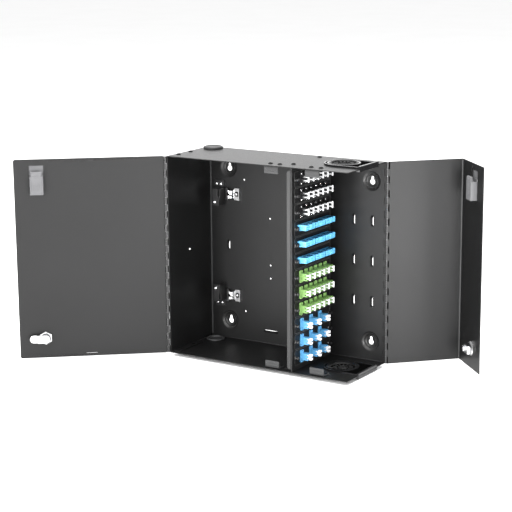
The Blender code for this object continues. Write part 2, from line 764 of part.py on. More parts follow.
def build_lock(side, reach_side, door_pivot, looks):
    """A cam lock: a barrel held in the door by a hex nut, and the key plug that turns the cam."""
    x, z = LOCKS[side]
    y = DOOR_OUTER_Y
    barrel = joined(
        cylinder((x, z), "Y", LOCK_RADIUS, y - 1.0, y + 13.0, sides=24),
        cylinder((x, z), "Y", 11.8, y - 1.8, y - GAP, sides=24),
    )
    barrel = cut(barrel, cylinder((x, z), "Y", 6.3, y - 5, y + 20, sides=20))
    placed(barrel, f"{side}_lock_barrel", looks["lock_metal"], door_pivot)
    nut = cylinder((x, z), "Y", 12.7, y + SHEET + GAP, y + SHEET + GAP + 4.0, sides=6, turn=pi / 6)
    nut = cut(nut, cylinder((x, z), "Y", LOCK_RADIUS + GAP, y, y + 10, sides=24))
    placed(nut, f"{side}_lock_nut", looks["bright_metal"], door_pivot)
    turn = pivot(f"{side}_lock_turn", (x, y, z), door_pivot)
    plug = joined(
        cylinder((x, z), "Y", 6.0, y - 2.4, y + 13.0, sides=20),
        box((x - 2.8, y + 12.5, z - 2.8), (x + 2.8, y + 15.3, z + 2.8)),
        cylinder((x, z), "Y", 2.4, y + 15.0, y + 19.0, sides=12),
    )
    key_slot = box((x - 0.7, y - 3, z - 4), (x + 0.7, y + 6, z + 4))
    placed(cut(plug, key_slot), f"{side}_lock_plug", looks["bright_metal"], turn)
    half = CAM_WIDTH / 2
    step = 15.0  # from the axis to the cam's joggle
    bends = [
        (-half - 1, 13.3),
        (step, 13.3),
        (step, 9.8),
        (CAM_REACH + 1, 9.8),
        (CAM_REACH + 1, 11.6),
        (step + 1.8, 11.6),
        (step + 1.8, 15.1),
        (-half - 1, 15.1),
    ]
    side_view = [(x + reach_side * along_x, y + off) for along_x, off in bends]
    cam = flat_outline(side_view, CAM_WIDTH + 2, Matrix.Translation((0, 0, z * MM)))
    tip = x + reach_side * (CAM_REACH - half)
    left_end, right_end = min(x, tip), max(x, tip)
    front_view = [*arc((right_end, z), half, -90, 90, 10), *arc((left_end, z), half, 90, 270, 10)]
    upright = Matrix.Translation((0, (y + 12) * MM, 0)) @ Matrix.Rotation(pi / 2, 4, "X")
    cam = combine(cam, [flat_outline(front_view, 20, upright)], "INTERSECT")
    cam = cut(cam, box((x - 3.1, y + 10, z - 3.1), (x + 3.1, y + 20, z + 3.1)))
    placed(cam, f"{side}_lock_cam", looks["bright_metal"], turn)
    cap_nut = cylinder((x, z), "Y", 5.6, y + 15.6, y + 18.4, sides=6)
    cap_nut = cut(cap_nut, cylinder((x, z), "Y", 2.7, y + 10, y + 25, sides=12))
    placed(cap_nut, f"{side}_lock_cam_nut", looks["bright_metal"], turn)


def main():
    clear_scene()
    looks = {
        "powder_coat": material("powder_coat", (0.028, 0.029, 0.031), 0.5),
        "strike_grey": material("strike_grey", (0.2, 0.2, 0.21), 0.45),
        "black_rubber": material("black_rubber", (0.025, 0.025, 0.026), 0.7),
        "black_plastic": material("black_plastic", (0.02, 0.02, 0.022), 0.4),
        "grey_plastic": material("grey_plastic", (0.16, 0.16, 0.17), 0.45),
        "blue_plastic": material("blue_plastic", (0.09, 0.42, 0.78), 0.35),
        "green_plastic": material("green_plastic", (0.4, 0.72, 0.12), 0.35),
        "bright_metal": material("bright_metal", (0.75, 0.75, 0.76), 0.25, 1.0),
        "lock_metal": material("lock_metal", (0.3, 0.3, 0.31), 0.35, 1.0),
    }
    powder = looks["powder_coat"]
    build_shell(powder)
    build_left_side(powder)
    build_bulkhead(powder)
    build_strikes(looks["strike_grey"])
    build_plugs(looks["black_rubber"])
    build_entry("top_entry", 1, looks["black_plastic"], looks["black_rubber"])
    build_entry("bottom_entry", -1, looks["black_plastic"], looks["black_rubber"])
    build_panels(looks)
    build_clamps(powder, looks["bright_metal"])
    left_pivot, right_pivot = build_doors(powder)
    build_hinges(left_pivot, right_pivot, powder, looks["bright_metal"])
    build_latch("left", left_pivot, looks["grey_plastic"])
    build_latch("right", right_pivot, looks["grey_plastic"])
    build_lock("left", 1, left_pivot, looks)
    build_lock("right", -1, right_pivot, looks)
    left_pivot.rotation_euler.z = radians(LEFT_DOOR_ANGLE)
    right_pivot.rotation_euler.z = radians(RIGHT_DOOR_ANGLE)
    bpy.context.view_layer.update()


main()
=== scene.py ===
"""The looks of a wall-mount fibre termination box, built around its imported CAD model.

Lengths are in millimetres and the scene is in metres. Pieces on a door are modelled with the door closed
and then turned to where it stands at rest.
"""

import json
from math import cos, pi, radians, sin

import bmesh
import bpy
from mathutils import Matrix, Vector


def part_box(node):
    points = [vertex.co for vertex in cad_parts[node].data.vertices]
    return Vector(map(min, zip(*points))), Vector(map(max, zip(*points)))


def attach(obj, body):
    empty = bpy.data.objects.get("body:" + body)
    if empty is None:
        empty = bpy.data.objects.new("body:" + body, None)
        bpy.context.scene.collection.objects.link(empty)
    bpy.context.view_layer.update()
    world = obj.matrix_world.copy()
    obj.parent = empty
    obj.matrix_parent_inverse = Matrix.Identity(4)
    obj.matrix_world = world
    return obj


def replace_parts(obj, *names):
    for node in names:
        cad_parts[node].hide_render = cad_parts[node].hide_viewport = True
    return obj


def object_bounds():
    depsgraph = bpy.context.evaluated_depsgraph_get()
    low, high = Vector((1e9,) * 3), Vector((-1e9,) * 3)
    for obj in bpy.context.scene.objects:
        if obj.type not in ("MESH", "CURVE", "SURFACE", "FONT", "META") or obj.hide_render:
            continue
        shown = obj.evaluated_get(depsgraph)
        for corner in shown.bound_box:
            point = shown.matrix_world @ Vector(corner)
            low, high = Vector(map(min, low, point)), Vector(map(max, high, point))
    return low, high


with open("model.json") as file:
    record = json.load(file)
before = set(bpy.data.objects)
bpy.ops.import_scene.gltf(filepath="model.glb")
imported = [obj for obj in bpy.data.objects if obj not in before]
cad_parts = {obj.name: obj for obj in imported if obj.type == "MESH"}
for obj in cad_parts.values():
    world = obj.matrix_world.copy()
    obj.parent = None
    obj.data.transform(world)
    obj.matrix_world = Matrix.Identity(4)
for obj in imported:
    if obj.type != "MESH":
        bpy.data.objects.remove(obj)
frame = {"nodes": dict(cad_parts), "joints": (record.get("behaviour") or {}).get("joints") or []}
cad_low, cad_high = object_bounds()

MM = 0.001
SHEET = 1.5
GAP = 0.3
SIDES = 40  # of a round piece about 20 mm across
KNUCKLES = 29  # in each piano hinge
PETALS = 14  # in each entry's membrane
RING_IN, RING_OUT = 27.0, 30.5  # radii of the raised ring around each membrane
ENTRY_SLOT = 34.0  # radius of the slot that an entry slides into
PLUG_HOLE = 17.0  # radius of the hole under each blind plug
SC_PORTS = (-8.6, 8.6)  # middles of the two ports along a duplex SC adapter
SC_WINDOWS = ((6.6, 10.6), (12.0, 16.0))  # from the plate, in its upper face

# The studio, in metres, degrees and watts.
CAMERA_PLACE = (1.5115, -2.5268, 0.6433)
CAMERA_ANGLES = (-32.36, -12.45, -0.42)  # yaw, pitch and roll
CAMERA_LENS = 110.89  # millimetres, on a sensor 36 mm wide
LIGHTS = (  # name, place, target, size, power
    ("overhead", (0.0, -0.3, 3.0), (0, -0.3, 0), (3.0, 3.0), 260.0),
    ("front_left", (-0.38, -1.45, -0.06), (0.16, 0, 0), (0.25, 0.25), 6.0),
    ("front_middle", (0.6, -1.3, -0.04), (0, 0, 0), (0.22, 0.16), 2.0),
    ("front_right", (1.15, -0.85, -0.02), (0.2, 0, -0.02), (0.6, 0.3), 12.0),
    ("right_side", (1.35, -0.12, -0.12), (0.3, 0.06, -0.05), (0.3, 0.2), 10.0),
    ("front_high", (0.1, -2.6, 1.0), (0, -0.1, 0), (0.8, 0.8), 40.0),
    ("behind", (-1.56, 2.46, 0.95), (0, 0, 0.19), (2.6, 1.2), 19.0),
)


def cad_box(node):
    low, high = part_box(node)
    return low / MM, high / MM


def cad_centre(node):
    low, high = cad_box(node)
    return (low + high) / 2


shell_low, shell_high = cad_box("chassis_shell")
LEFT, RIGHT = shell_low.x, shell_high.x
FRONT, BACK = shell_low.y, 0.0
BOTTOM, TOP = shell_low.z, shell_high.z
WALL_Y = shell_high.y
BULKHEAD_X = cad_box("bulkhead")[1].x
HINGE_END = TOP - 0.6  # half the length of each row of knuckles
FEET_X, FEET_Z = (LEFT + 44.0, RIGHT - 30.5), 152.4
BACK_HOLES = ((79.5, 322.0), (137.6, 251.0), (138.3, 159.0), (138.3, 133.0), (80.5, 60.5))
FOOT_DISC = WALL_Y - SHEET  # inner face of a foot's lower step
FOOT_SLOPES = (
    [(9.3, FOOT_DISC - 0.15), (9.9, FOOT_DISC - 0.55), (10.5, FOOT_DISC - 1.15), (11.1, FOOT_DISC - 1.7)],
    [(14.3, 1.2), (15.0, 0.8), (15.7, 0.15), (16.4, -0.5), (17.1, -0.95)],
)
JOINTS = {joint["name"]: joint for joint in frame["joints"]}


# Shapes


def scratch(data):
    obj = bpy.data.objects.new("scratch", data)
    bpy.context.scene.collection.objects.link(obj)
    return obj


def from_bmesh(bm):
    mesh = bpy.data.meshes.new("shape")
    bm.to_mesh(mesh)
    bm.free()
    return scratch(mesh)


def box(low, high):
    low, high = Vector(low), Vector(high)
    bm = bmesh.new()
    place = Matrix.Translation((low + high) * MM / 2) @ Matrix.Diagonal((*((high - low) * MM), 1.0))
    bmesh.ops.create_cube(bm, size=1.0, matrix=place)
    return from_bmesh(bm)


AXIS_TURNS = {
    "X": Matrix.Rotation(pi / 2, 4, "Y"),
    "Y": Matrix.Rotation(-pi / 2, 4, "X"),
    "Z": Matrix.Identity(4),
}


def facing(axis, point, sign=1):
    """A place at the point, in millimetres, with local Z along one axis or against it."""
    flip = Matrix.Identity(4) if sign > 0 else Matrix.Rotation(pi, 4, "X")
    return Matrix.Translation(Vector(point) * MM) @ AXIS_TURNS[axis] @ flip


def cylinder(centre, axis, radius, low, high, sides=SIDES):
    middle = list(centre)
    middle.insert("XYZ".index(axis), (low + high) / 2)
    bm = bmesh.new()
    size = {"radius1": radius * MM, "radius2": radius * MM, "depth": (high - low) * MM}
    bmesh.ops.create_cone(bm, cap_ends=True, segments=sides, matrix=facing(axis, middle), **size)
    return from_bmesh(bm)


def baked(obj):
    graph = bpy.context.evaluated_depsgraph_get()
    mesh = bpy.data.meshes.new_from_object(obj.evaluated_get(graph))
    mesh.transform(obj.matrix_world)
    bpy.data.objects.remove(obj)
    return scratch(mesh)


def outline(points, thickness, place):
    """A flat outline in the place's XY plane, with half its thickness on each side."""
    curve = bpy.data.curves.new("outline", "CURVE")
    curve.dimensions = "2D"
    curve.fill_mode = "BOTH"
    curve.extrude = thickness * MM / 2
    spline = curve.splines.new("POLY")
    spline.points.add(len(points) - 1)
    spline.use_cyclic_u = True
    for point, (x, y) in zip(spline.points, points):
        point.co = (x * MM, y * MM, 0.0, 1.0)
    made = scratch(curve)
    made.matrix_world = place
    bpy.context.view_layer.update()
    made = baked(made)
    bm = bmesh.new()
    bm.from_mesh(made.data)
    bmesh.ops.remove_doubles(bm, verts=bm.verts, dist=1e-6)
    bmesh.ops.recalc_face_normals(bm, faces=bm.faces)
    bm.to_mesh(made.data)
    bm.free()
    return made


def turned(profile, place, steps=SIDES):
    """A profile of (radius, height), from the top down its outer side, turned about local Z."""
    bm = bmesh.new()
    corners = [bm.verts.new((radius * MM, 0.0, height * MM)) for radius, height in profile]
    for first, second in zip(corners, corners[1:]):
        bm.edges.new((first, second))
    made = from_bmesh(bm)
    screw = made.modifiers.new("turn", "SCREW")
    screw.steps = screw.render_steps = steps
    screw.use_merge_vertices = True
    screw.merge_threshold = 1e-5
    made.matrix_world = place
    bpy.context.view_layer.update()
    return baked(made)


def combine(base, tools, operation):
    for tool in tools:
        step = base.modifiers.new("combine", "BOOLEAN")
        step.operation = operation
        step.solver = "EXACT"
        step.object = tool
        bpy.context.view_layer.update()
        base = baked(base)
        bpy.data.objects.remove(tool)
    return base


def cut(base, *tools):
    return combine(base, tools, "DIFFERENCE")


def joined(base, *tools):
    return combine(base, tools, "UNION")


def together(*objs):
    """Several closed shapes in one mesh, as they are."""
    bm = bmesh.new()
    for obj in objs:
        bm.from_mesh(obj.data)
        bpy.data.objects.remove(obj)
    return from_bmesh(bm)


def moved(obj, matrix):
    obj.data.transform(matrix)
    return obj


def shifted(obj, offset):
    return moved(obj, Matrix.Translation(Vector(offset) * MM))


def copy_of(obj):
    return scratch(obj.data.copy())


def round_edges(obj, radius, chosen, segments=5):
    bm = bmesh.new()
    bm.from_mesh(obj.data)
    picked = [edge for edge in bm.edges if chosen(*(vert.co / MM for vert in edge.verts))]
    style = {"offset_type": "OFFSET", "profile": 0.5, "affect": "EDGES"}
    bmesh.ops.bevel(bm, geom=picked, offset=radius * MM, segments=segments, **style)
    bm.to_mesh(obj.data)
    bm.free()
    return obj


def along(axis):
    others = [i for i in range(3) if i != "XYZ".index(axis)]
    return lambda a, b: all(abs(a[i] - b[i]) < 0.01 for i in others)


def arc(centre, radius, start, end, steps=12):
    angles = [radians(start + (end - start) * i / steps) for i in range(steps + 1)]
    return [(centre[0] + radius * cos(a), centre[1] + radius * sin(a)) for a in angles]


def rounded_rectangle(width, height, radius, centre=(0, 0)):
    x, y = width / 2 - radius, height / 2 - radius
    points = []
    for sx, sy, start in ((1, 1, 0), (-1, 1, 90), (-1, -1, 180), (1, -1, 270)):
        points += arc((centre[0] + sx * x, centre[1] + sy * y), radius, start, start + 90, 5)
    return points


def upright(y):
    """The plane at this y, for an outline given in x and z."""
    return Matrix.Translation((0, y * MM, 0)) @ Matrix.Rotation(pi / 2, 4, "X")


def sideways(x):
    """The plane at this x, for an outline given in y and z."""
    place = Matrix.Translation((x * MM, 0, 0)) @ Matrix.Rotation(pi / 2, 4, "Z")
    return place @ Matrix.Rotation(pi / 2, 4, "X")


def level(z):
    """The plane at this height, for an outline given in x and y."""
    return Matrix.Translation((0, 0, z * MM))


# The doors' places at rest


def door_turn(side):
    """Turns a piece from its place on the closed door to its place at rest."""
    joint = JOINTS[f"{side}_door_hinge"]
    pivot = Matrix.Translation(Vector(joint["pos_m"]))
    closed = radians(joint["range_deg"][0])
    return pivot @ Matrix.Rotation(-closed, 4, Vector(joint["axis"])) @ pivot.inverted()


TURNS = {side: door_turn(side) for side in ("left", "right")}


def closed_box(side, *names):
    """The box that CAD nodes of a door fill when it is closed."""
    back = TURNS[side].inverted()
    points = [back @ vert.co / MM for name in names for vert in frame["nodes"][name].data.vertices]
    low = Vector([min(point[i] for point in points) for i in range(3)])
    high = Vector([max(point[i] for point in points) for i in range(3)])
    return low, high


# Materials


def node_material(name, colour, roughness, metallic=0.0, specular=0.5):
    made = bpy.data.materials.new(name)
    made.use_nodes = True
    shader = made.node_tree.nodes["Principled BSDF"]
    shader.inputs["Base Color"].default_value = (*colour, 1.0)
    shader.inputs["Roughness"].default_value = roughness
    shader.inputs["Metallic"].default_value = metallic
    shader.inputs["Specular IOR Level"].default_value = specular
    return made, made.node_tree, shader


def linked_node(tree, kind, source, socket, **values):
    """A shader node of this kind, with its socket linked to the source and other inputs set."""
    made = tree.nodes.new(f"ShaderNode{kind}")
    tree.links.new(source, made.inputs[socket])
    for name, value in values.items():
        made.inputs[name.replace("_", " ")].default_value = value
    return made


def coordinates(tree, stretch=(1, 1, 1)):
    place = tree.nodes.new("ShaderNodeTexCoord").outputs["Object"]
    return linked_node(tree, "Mapping", place, "Vector", Scale=stretch).outputs["Vector"]


def noise(tree, vector, per_metre, detail=2.0):
    return linked_node(tree, "TexNoise", vector, "Vector", Scale=per_metre, Detail=detail).outputs["Fac"]


def vary_colour(tree, shader, factor, low, high):
    """The base colour goes from low to high as the factor goes from 0.3 to 0.7."""
    made = linked_node(tree, "ValToRGB", factor, "Fac")
    for element, position, colour in zip(made.color_ramp.elements, (0.3, 0.7), (low, high)):
        element.position = position
        element.color = (*colour, 1.0)
    tree.links.new(made.outputs["Color"], shader.inputs["Base Color"])


def vary_roughness(tree, shader, factor, low, high):
    made = linked_node(tree, "MapRange", factor, "Value", To_Min=low, To_Max=high)
    tree.links.new(made.outputs["Result"], shader.inputs["Roughness"])


def bump(tree, shader, height, strength, distance_mm):
    made = linked_node(tree, "Bump", height, "Height", Strength=strength, Distance=distance_mm * MM)
    tree.links.new(made.outputs["Normal"], shader.inputs["Normal"])


def shade(colour, factor):
    return tuple(min(1.0, channel * factor) for channel in colour)


def powder_coat(name, colour, roughness=0.44, specular=0.32):
    """Baked powder: a fine pebbled skin, with slow drifts in tone and fine specks."""
    made, tree, shader = node_material(name, colour, roughness, specular=specular)
    vector = coordinates(tree)
    drift = noise(tree, vector, 9.0, 3.0)
    vary_colour(tree, shader, drift, shade(colour, 0.86), shade(colour, 1.16))
    pebbles = noise(tree, vector, 620.0, 4.0)
    vary_roughness(tree, shader, pebbles, roughness - 0.09, roughness + 0.11)
    bump(tree, shader, pebbles, 0.5, 0.22)
    return made


def moulded(name, colour, roughness=0.35, grain=0.12, specular=0.5):
    """Injection-moulded plastic, with a light spark-eroded grain."""
    made, tree, shader = node_material(name, colour, roughness, specular=specular)
    vector = coordinates(tree)
    flow = noise(tree, vector, 55.0, 2.0)
    vary_colour(tree, shader, flow, shade(colour, 0.92), shade(colour, 1.06))
    texture = noise(tree, vector, 1900.0, 2.0)
    vary_roughness(tree, shader, texture, roughness - 0.05, roughness + 0.07)
    bump(tree, shader, texture, grain, 0.05)
    return made


def plated(name, colour, roughness=0.2, stretch=(1, 1, 1)):
    """Bright plating over stamped metal: fine scratches and cloudy patches."""
    made, tree, shader = node_material(name, colour, roughness, metallic=1.0)
    cloud = noise(tree, coordinates(tree), 160.0, 3.0)
    vary_colour(tree, shader, cloud, shade(colour, 0.86), shade(colour, 1.04))
    scratches = noise(tree, coordinates(tree, stretch), 900.0, 3.0)
    vary_roughness(tree, shader, scratches, roughness - 0.08, roughness + 0.08)
    bump(tree, shader, scratches, 0.12, 0.03)
    return made


def rubber(name, colour, roughness=0.6, specular=0.5):
    """Soft rubber with a patchy bloom."""
    made, tree, shader = node_material(name, colour, roughness, specular=specular)
    vector = coordinates(tree)
    bloom = noise(tree, vector, 70.0, 4.0)
    vary_colour(tree, shader, bloom, shade(colour, 0.8), shade(colour, 1.5))
    vary_roughness(tree, shader, bloom, roughness - 0.1, roughness + 0.1)
    bump(tree, shader, noise(tree, vector, 1400.0, 2.0), 0.2, 0.06)
    return made


LOOKS = {
    "powder_coat": powder_coat("powder_coat_black", (0.0035, 0.0035, 0.0036)),
    # Darker coat for the adapter plates, and for the tie bridges, where it is painted shade on the straps.
    "panel_and_shade_coat": powder_coat("powder_coat_panels_and_painted_shade", (0.002, 0.002, 0.0021), 0.5, 0.2),
    # Lighter coat on the bulkhead's lip: a painted highlight, for the light that the lip reflects.
    "lip_highlight_coat": powder_coat("powder_coat_lip_painted_highlight", (0.02, 0.02, 0.0202), 0.34, 0.42),
    # Lighter coat for the feet's slopes and the adapter plates' edges: a painted highlight.
    "highlight_coat": powder_coat("powder_coat_painted_highlights", (0.02, 0.0198, 0.0195), 0.4, 0.45),
    # Darker coat for the rivet heads: painted shade on the domes.
    "rivet_shade_coat": powder_coat("powder_coat_rivets_painted_shade", (0.0015, 0.0015, 0.0015), 0.3, 0.12),
    # Lighter coat for the clamp brackets: painted light on their raised plates.
    "bracket_lit_coat": powder_coat("powder_coat_brackets_painted_light", (0.009, 0.009, 0.0092), 0.42, 0.4),
    # Lighter coat for the hinge knuckles: a painted highlight along the barrels.
    "knuckle_highlight_coat": powder_coat("powder_coat_knuckles_painted_highlight", (0.014, 0.014, 0.0142), 0.38, 0.45),
    # The strikes' own grey, also used for painted highlights on a corner, a bend and the brackets' edges.
    "strike_grey": powder_coat("strike_coat_and_painted_highlights", (0.024, 0.0242, 0.0248), 0.42, 0.45),
    # Flat black for painted shade: in the hinges' gaps, the entries' troughs and on the membranes' webs.
    "painted_shade_black": powder_coat("powder_coat_painted_shade", (0.002, 0.002, 0.002), 0.7, 0.0),
    "black_rubber": rubber("rubber_black", (0.016, 0.016, 0.0165)),
    "membrane_rubber": rubber("rubber_membrane", (0.012, 0.012, 0.0122), 0.5, 0.25),
    "black_plastic": moulded("plastic_black", (0.005, 0.005, 0.0055), 0.28),
    "grey_plastic": moulded("plastic_grey", (0.11, 0.11, 0.114), 0.45, 0.3, 0.25),
    "blue_plastic": moulded("plastic_blue", (0.12, 0.42, 0.68), 0.25, 0.1),
    "lc_blue_plastic": moulded("plastic_lc_blue", (0.09, 0.3, 0.54), 0.28, 0.1),
    # Dark blue for painted shade in the SC adapters' windows and side gaps.
    "shade_blue_plastic": moulded("plastic_blue_painted_shade", (0.008, 0.045, 0.1), 0.6, 0.1, 0.0),
    "green_plastic": moulded("plastic_green", (0.18, 0.33, 0.1), 0.28, 0.1),
    "white_plastic": moulded("plastic_white", (0.74, 0.74, 0.75), 0.3, 0.06),
    "bright_metal": plated("plating_bright", (0.7, 0.7, 0.705), 0.3, (1, 1, 6)),
    "screw_metal": plated("plating_screws", (0.9, 0.9, 0.91), 0.14),
    "lock_metal": plated("lock_die_cast", (0.12, 0.12, 0.125), 0.34),
    "pin_metal": plated("hinge_pin_steel", (0.5, 0.5, 0.51), 0.3, (1, 1, 0.1)),
}
# Looks that share another look's slot; each of the others is a slot of its own.
SLOTS = {look: "powder_coat" for look in LOOKS if look.endswith("_coat")}
SLOTS |= {"painted_shade_black": "powder_coat", "membrane_rubber": "black_rubber"}
SLOTS |= {"lc_blue_plastic": "blue_plastic", "shade_blue_plastic": "blue_plastic"}
SLOTS |= {"screw_metal": "bright_metal", "pin_metal": "bright_metal"}


def piece(obj, name, body, look, *replaced, bevel=0.0, angle=35.0, door=None):
    """Finishes a piece: its name, material, soft edges, and the CAD body that it rides on."""
    if door:
        moved(obj, TURNS[door])
    obj.name = name
    obj.data.name = name
    obj.data.materials.clear()
    obj.data.materials.append(LOOKS[look])
    if bevel:
        edge = obj.modifiers.new("soft_edges", "BEVEL")
        edge.width = bevel * MM
        edge.segments = 2
        edge.limit_method = "ANGLE"
        edge.angle_limit = radians(40)
        edge.harden_normals = True
    obj.data.shade_smooth()
    obj.data.set_sharp_from_angle(angle=radians(angle))
    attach(obj, body)
    if replaced:
        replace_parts(obj, *replaced)
    return obj


def rivet_head(axis, point, sign, radius=4.4, rise=2.6):
    """A domed rivet head that stands on a face, sign giving the way it stands along the axis."""
    dome = [(radius * sin(a), rise * cos(a)) for a in (radians(10 * i) for i in range(10))]
    return turned([*dome, (radius, -0.1), (0, -0.1)], facing(axis, point, sign), 24)


def pan_screw(point, radius, rise):
    """A pan-head screw that stands on a face and points to the front, with a small recess."""
    profile = [(0, rise), (radius * 0.55, rise * 0.95), (radius * 0.85, rise * 0.7), (radius, rise * 0.25)]
    place = facing("Y", point, -1)
    head = turned([*profile, (radius, -0.2), (0, -0.2)], place, 28)
    return cut(head, moved(cylinder((0, 0), "Z", radius * 0.32, rise - 0.9, rise + 2, 6), place))


# Cabinet


def entry_slot(name, side):
    """Two tools that cut the slot in the shell's edge that a cable entry slides into."""
    x, y = cad_centre(f"{name}_membrane").xy
    z = side * TOP
    return (
        cylinder((x, y), "Z", ENTRY_SLOT, z - 5, z + 5, 72),
        box((x, y - ENTRY_SLOT, z - 5), (RIGHT + 5, y + ENTRY_SLOT, z + 5)),
    )


def foot(x, z):
    """A dished foot: two pressed steps towards the wall, and a keyhole in the lower one."""
    place = facing("Y", (x, 0, z))
    outer = [(0, WALL_Y), (11.0, WALL_Y), (12.6, WALL_Y - 0.4), (14.6, 2.7), (18.4, 0.6), (19.6, 0.1)]
    outer += [(20.6, -0.4), (0, -0.4)]
    inner = [(0, FOOT_DISC), (8.6, FOOT_DISC), *FOOT_SLOPES[0], (11.8, 1.5), (12.6, 1.42), (13.6, 1.35)]
    inner += [*FOOT_SLOPES[1], (18.0, -1.25), (18.8, -SHEET + 0.08), (19.8, -SHEET - 0.05)]
    inner += [(19.8, -SHEET - 2), (0, -SHEET - 2)]
    keyhole = (
        cylinder((x, z - 2), "Y", 5.2, -4, 8, 32),
        box((x - 2.7, -4, z - 2), (x + 2.7, 8, z + 6)),
        cylinder((x, z + 6), "Y", 2.7, -4, 8, 24),
    )
    return turned(outer, place, 56), turned(inner, place, 56), keyhole


def foot_slope_highlights(x, z):
    """The two slopes of a dished foot, as thin rings over the sheet in a lighter coat: a painted highlight on
    the slopes.
    """
    rings = []
    for slope in FOOT_SLOPES:
        profile = [(r, y + 0.25) for r, y in slope] + [(r, y - 0.15) for r, y in reversed(slope)]
        rings.append(turned([*profile, profile[0]], facing("Y", (x, 0, z)), 56))
    return rings


def bridge(centre, axis, length, width, rise, face, inward):
    """A lanced bridge: a strap that stands off the sheet with sloped ends, and the slot behind it."""
    x, z = centre
    half = length / 2
    root, low = face - inward * 0.4, face + inward * 0.3
    top, under = face + inward * rise, face + inward * (rise - 1.0)
    profile = [(-half, root), (-half, low), (-half + 4.2, top), (half - 4.2, top), (half, low), (half, root)]
    profile += [(half - 1.2, root), (half - 4.7, under), (-half + 4.7, under), (-half + 1.2, root)]
    if axis == "Z":
        strap = outline([(y, z + t) for t, y in profile], width, sideways(x))
        slot = box((x - width / 2, face - 5, z - half + 1.2), (x + width / 2, face + 5, z + half - 1.2))
    else:
        strap = outline([(x + t, y) for t, y in profile], width, level(z))
        slot = box((x - half + 1.2, face - 5, z - width / 2), (x + half - 1.2, face + 5, z + width / 2))
    return strap, slot


def shell_bridges():
    """The tie bridges of the back, each a strap with its slot."""
    spots = [((LEFT + 43.0, BOTTOM + 190.5), "Z", 19.0), ((LEFT + 139.0, BOTTOM + 27.0), "X", 31.0)]
    for x in (LEFT + 321.0, LEFT + 360.0):
        spots += [((x, BOTTOM + z), "Z", 20.5) for z in (115.5, 193.0, 269.0)]
    return [bridge(centre, axis, length, 4.8, 3.4, -SHEET, -1) for centre, axis, length in spots]


def build_shell():
    """The folded sheet that is the top, back and bottom, with its feet, openings and tie bridges."""
    outside = box((LEFT, FRONT, BOTTOM), (RIGHT, BACK, TOP))
    outside = round_edges(outside, 2.4, lambda a, b: along("X")(a, b) and a.y > -1.0)
    inside = box((LEFT - 5, FRONT - 5, BOTTOM + SHEET), (RIGHT + 5, BACK - SHEET, TOP - SHEET))
    inside = round_edges(inside, 2.2, lambda a, b: along("X")(a, b) and a.y > -SHEET - 1.0)
    shell = cut(outside, inside)
    rings = []
    for x in FEET_X:
        for z in (-FEET_Z, FEET_Z):
            outer, inner, keyhole = foot(x, z)
            shell = cut(joined(shell, outer), inner, *keyhole)
            rings += foot_slope_highlights(x, z)
    # The slope rings are in the lighter coat: a painted highlight on the feet's slopes.
    piece(together(*rings), "shell_foot_slope_highlights", "enclosure", "highlight_coat")
    plug_x, plug_y = cad_centre("plug_top_left").xy
    for side, name in ((-1, "bottom_entry"), (1, "top_entry")):
        hole = cylinder((plug_x, plug_y), "Z", PLUG_HOLE, side * TOP - 5, side * TOP + 5, 48)
        shell = cut(shell, hole, *entry_slot(name, side))
    for x, z in BACK_HOLES:
        shell = cut(shell, cylinder((LEFT + x, BOTTOM + z), "Y", 1.7, -6, 6, 16))
    straps, slots = zip(*shell_bridges())
    shell = piece(cut(shell, *slots), "shell_sheet", "enclosure", "powder_coat", "chassis_shell", angle=28)
    flat_faces = shell.modifiers.new("flat_faces", "WEIGHTED_NORMAL")
    flat_faces.keep_sharp = True
    # The straps take the darker coat: painted shade along their sides.
    piece(together(*straps), "shell_tie_bridges", "enclosure", "panel_and_shade_coat", bevel=0.3)


def build_left_side():
    """The left wall with its flanges, a grey fillet at its rear corner as a painted highlight, and its stud.
    """
    low, high = cad_box("left_side_panel")
    wall = round_edges(box((low.x, low.y, low.z), (low.x + SHEET, high.y, high.z)), 0.5, along("Z"), 3)
    plan = rounded_rectangle(17, 85, 3, (low.x + 8.5, low.y + 47.5))
    plan = [(max(x, low.x), y) for x, y in plan]
    flanges = []
    for side in (-1, 1):
        z0, z1 = sorted((side * high.z, side * (high.z - SHEET)))
        flanges.append(outline(plan, z1 - z0, level((z0 + z1) / 2)))
    piece(joined(wall, *flanges), "left_wall_sheet", "enclosure", "powder_coat", "left_side_panel", bevel=0.3)
    x, y = low.x + SHEET, high.y
    # A grey fillet in the rear corner: a painted highlight along the corner.
    highlight_strip = outline([(x, y), (x + 2.6, y), (x + 2.2, y - 0.9), (x, y - 1.2)], 2 * high.z - 8, level(0))
    piece(highlight_strip, "left_wall_rear_highlight", "enclosure", "strike_grey", bevel=0.2)
    stud = rivet_head("X", (low.x + SHEET, FRONT + 70, 0), 1, 3.4, 2.0)
    outer = rivet_head("X", (low.x, FRONT + 70, 0), -1, 3.4, 0.8)
    piece(together(stud, outer), "left_wall_stud", "enclosure", "screw_metal")


def window_spots():
    """The middle of each adapter panel's plate, from the top row down."""
    spots = []
    for row in range(12):
        low, high = cad_box(f"adapter_panel_{row + 1:02d}")
        spots.append(((low.y + high.y) / 2, (low.z + high.z) / 2))
    return spots


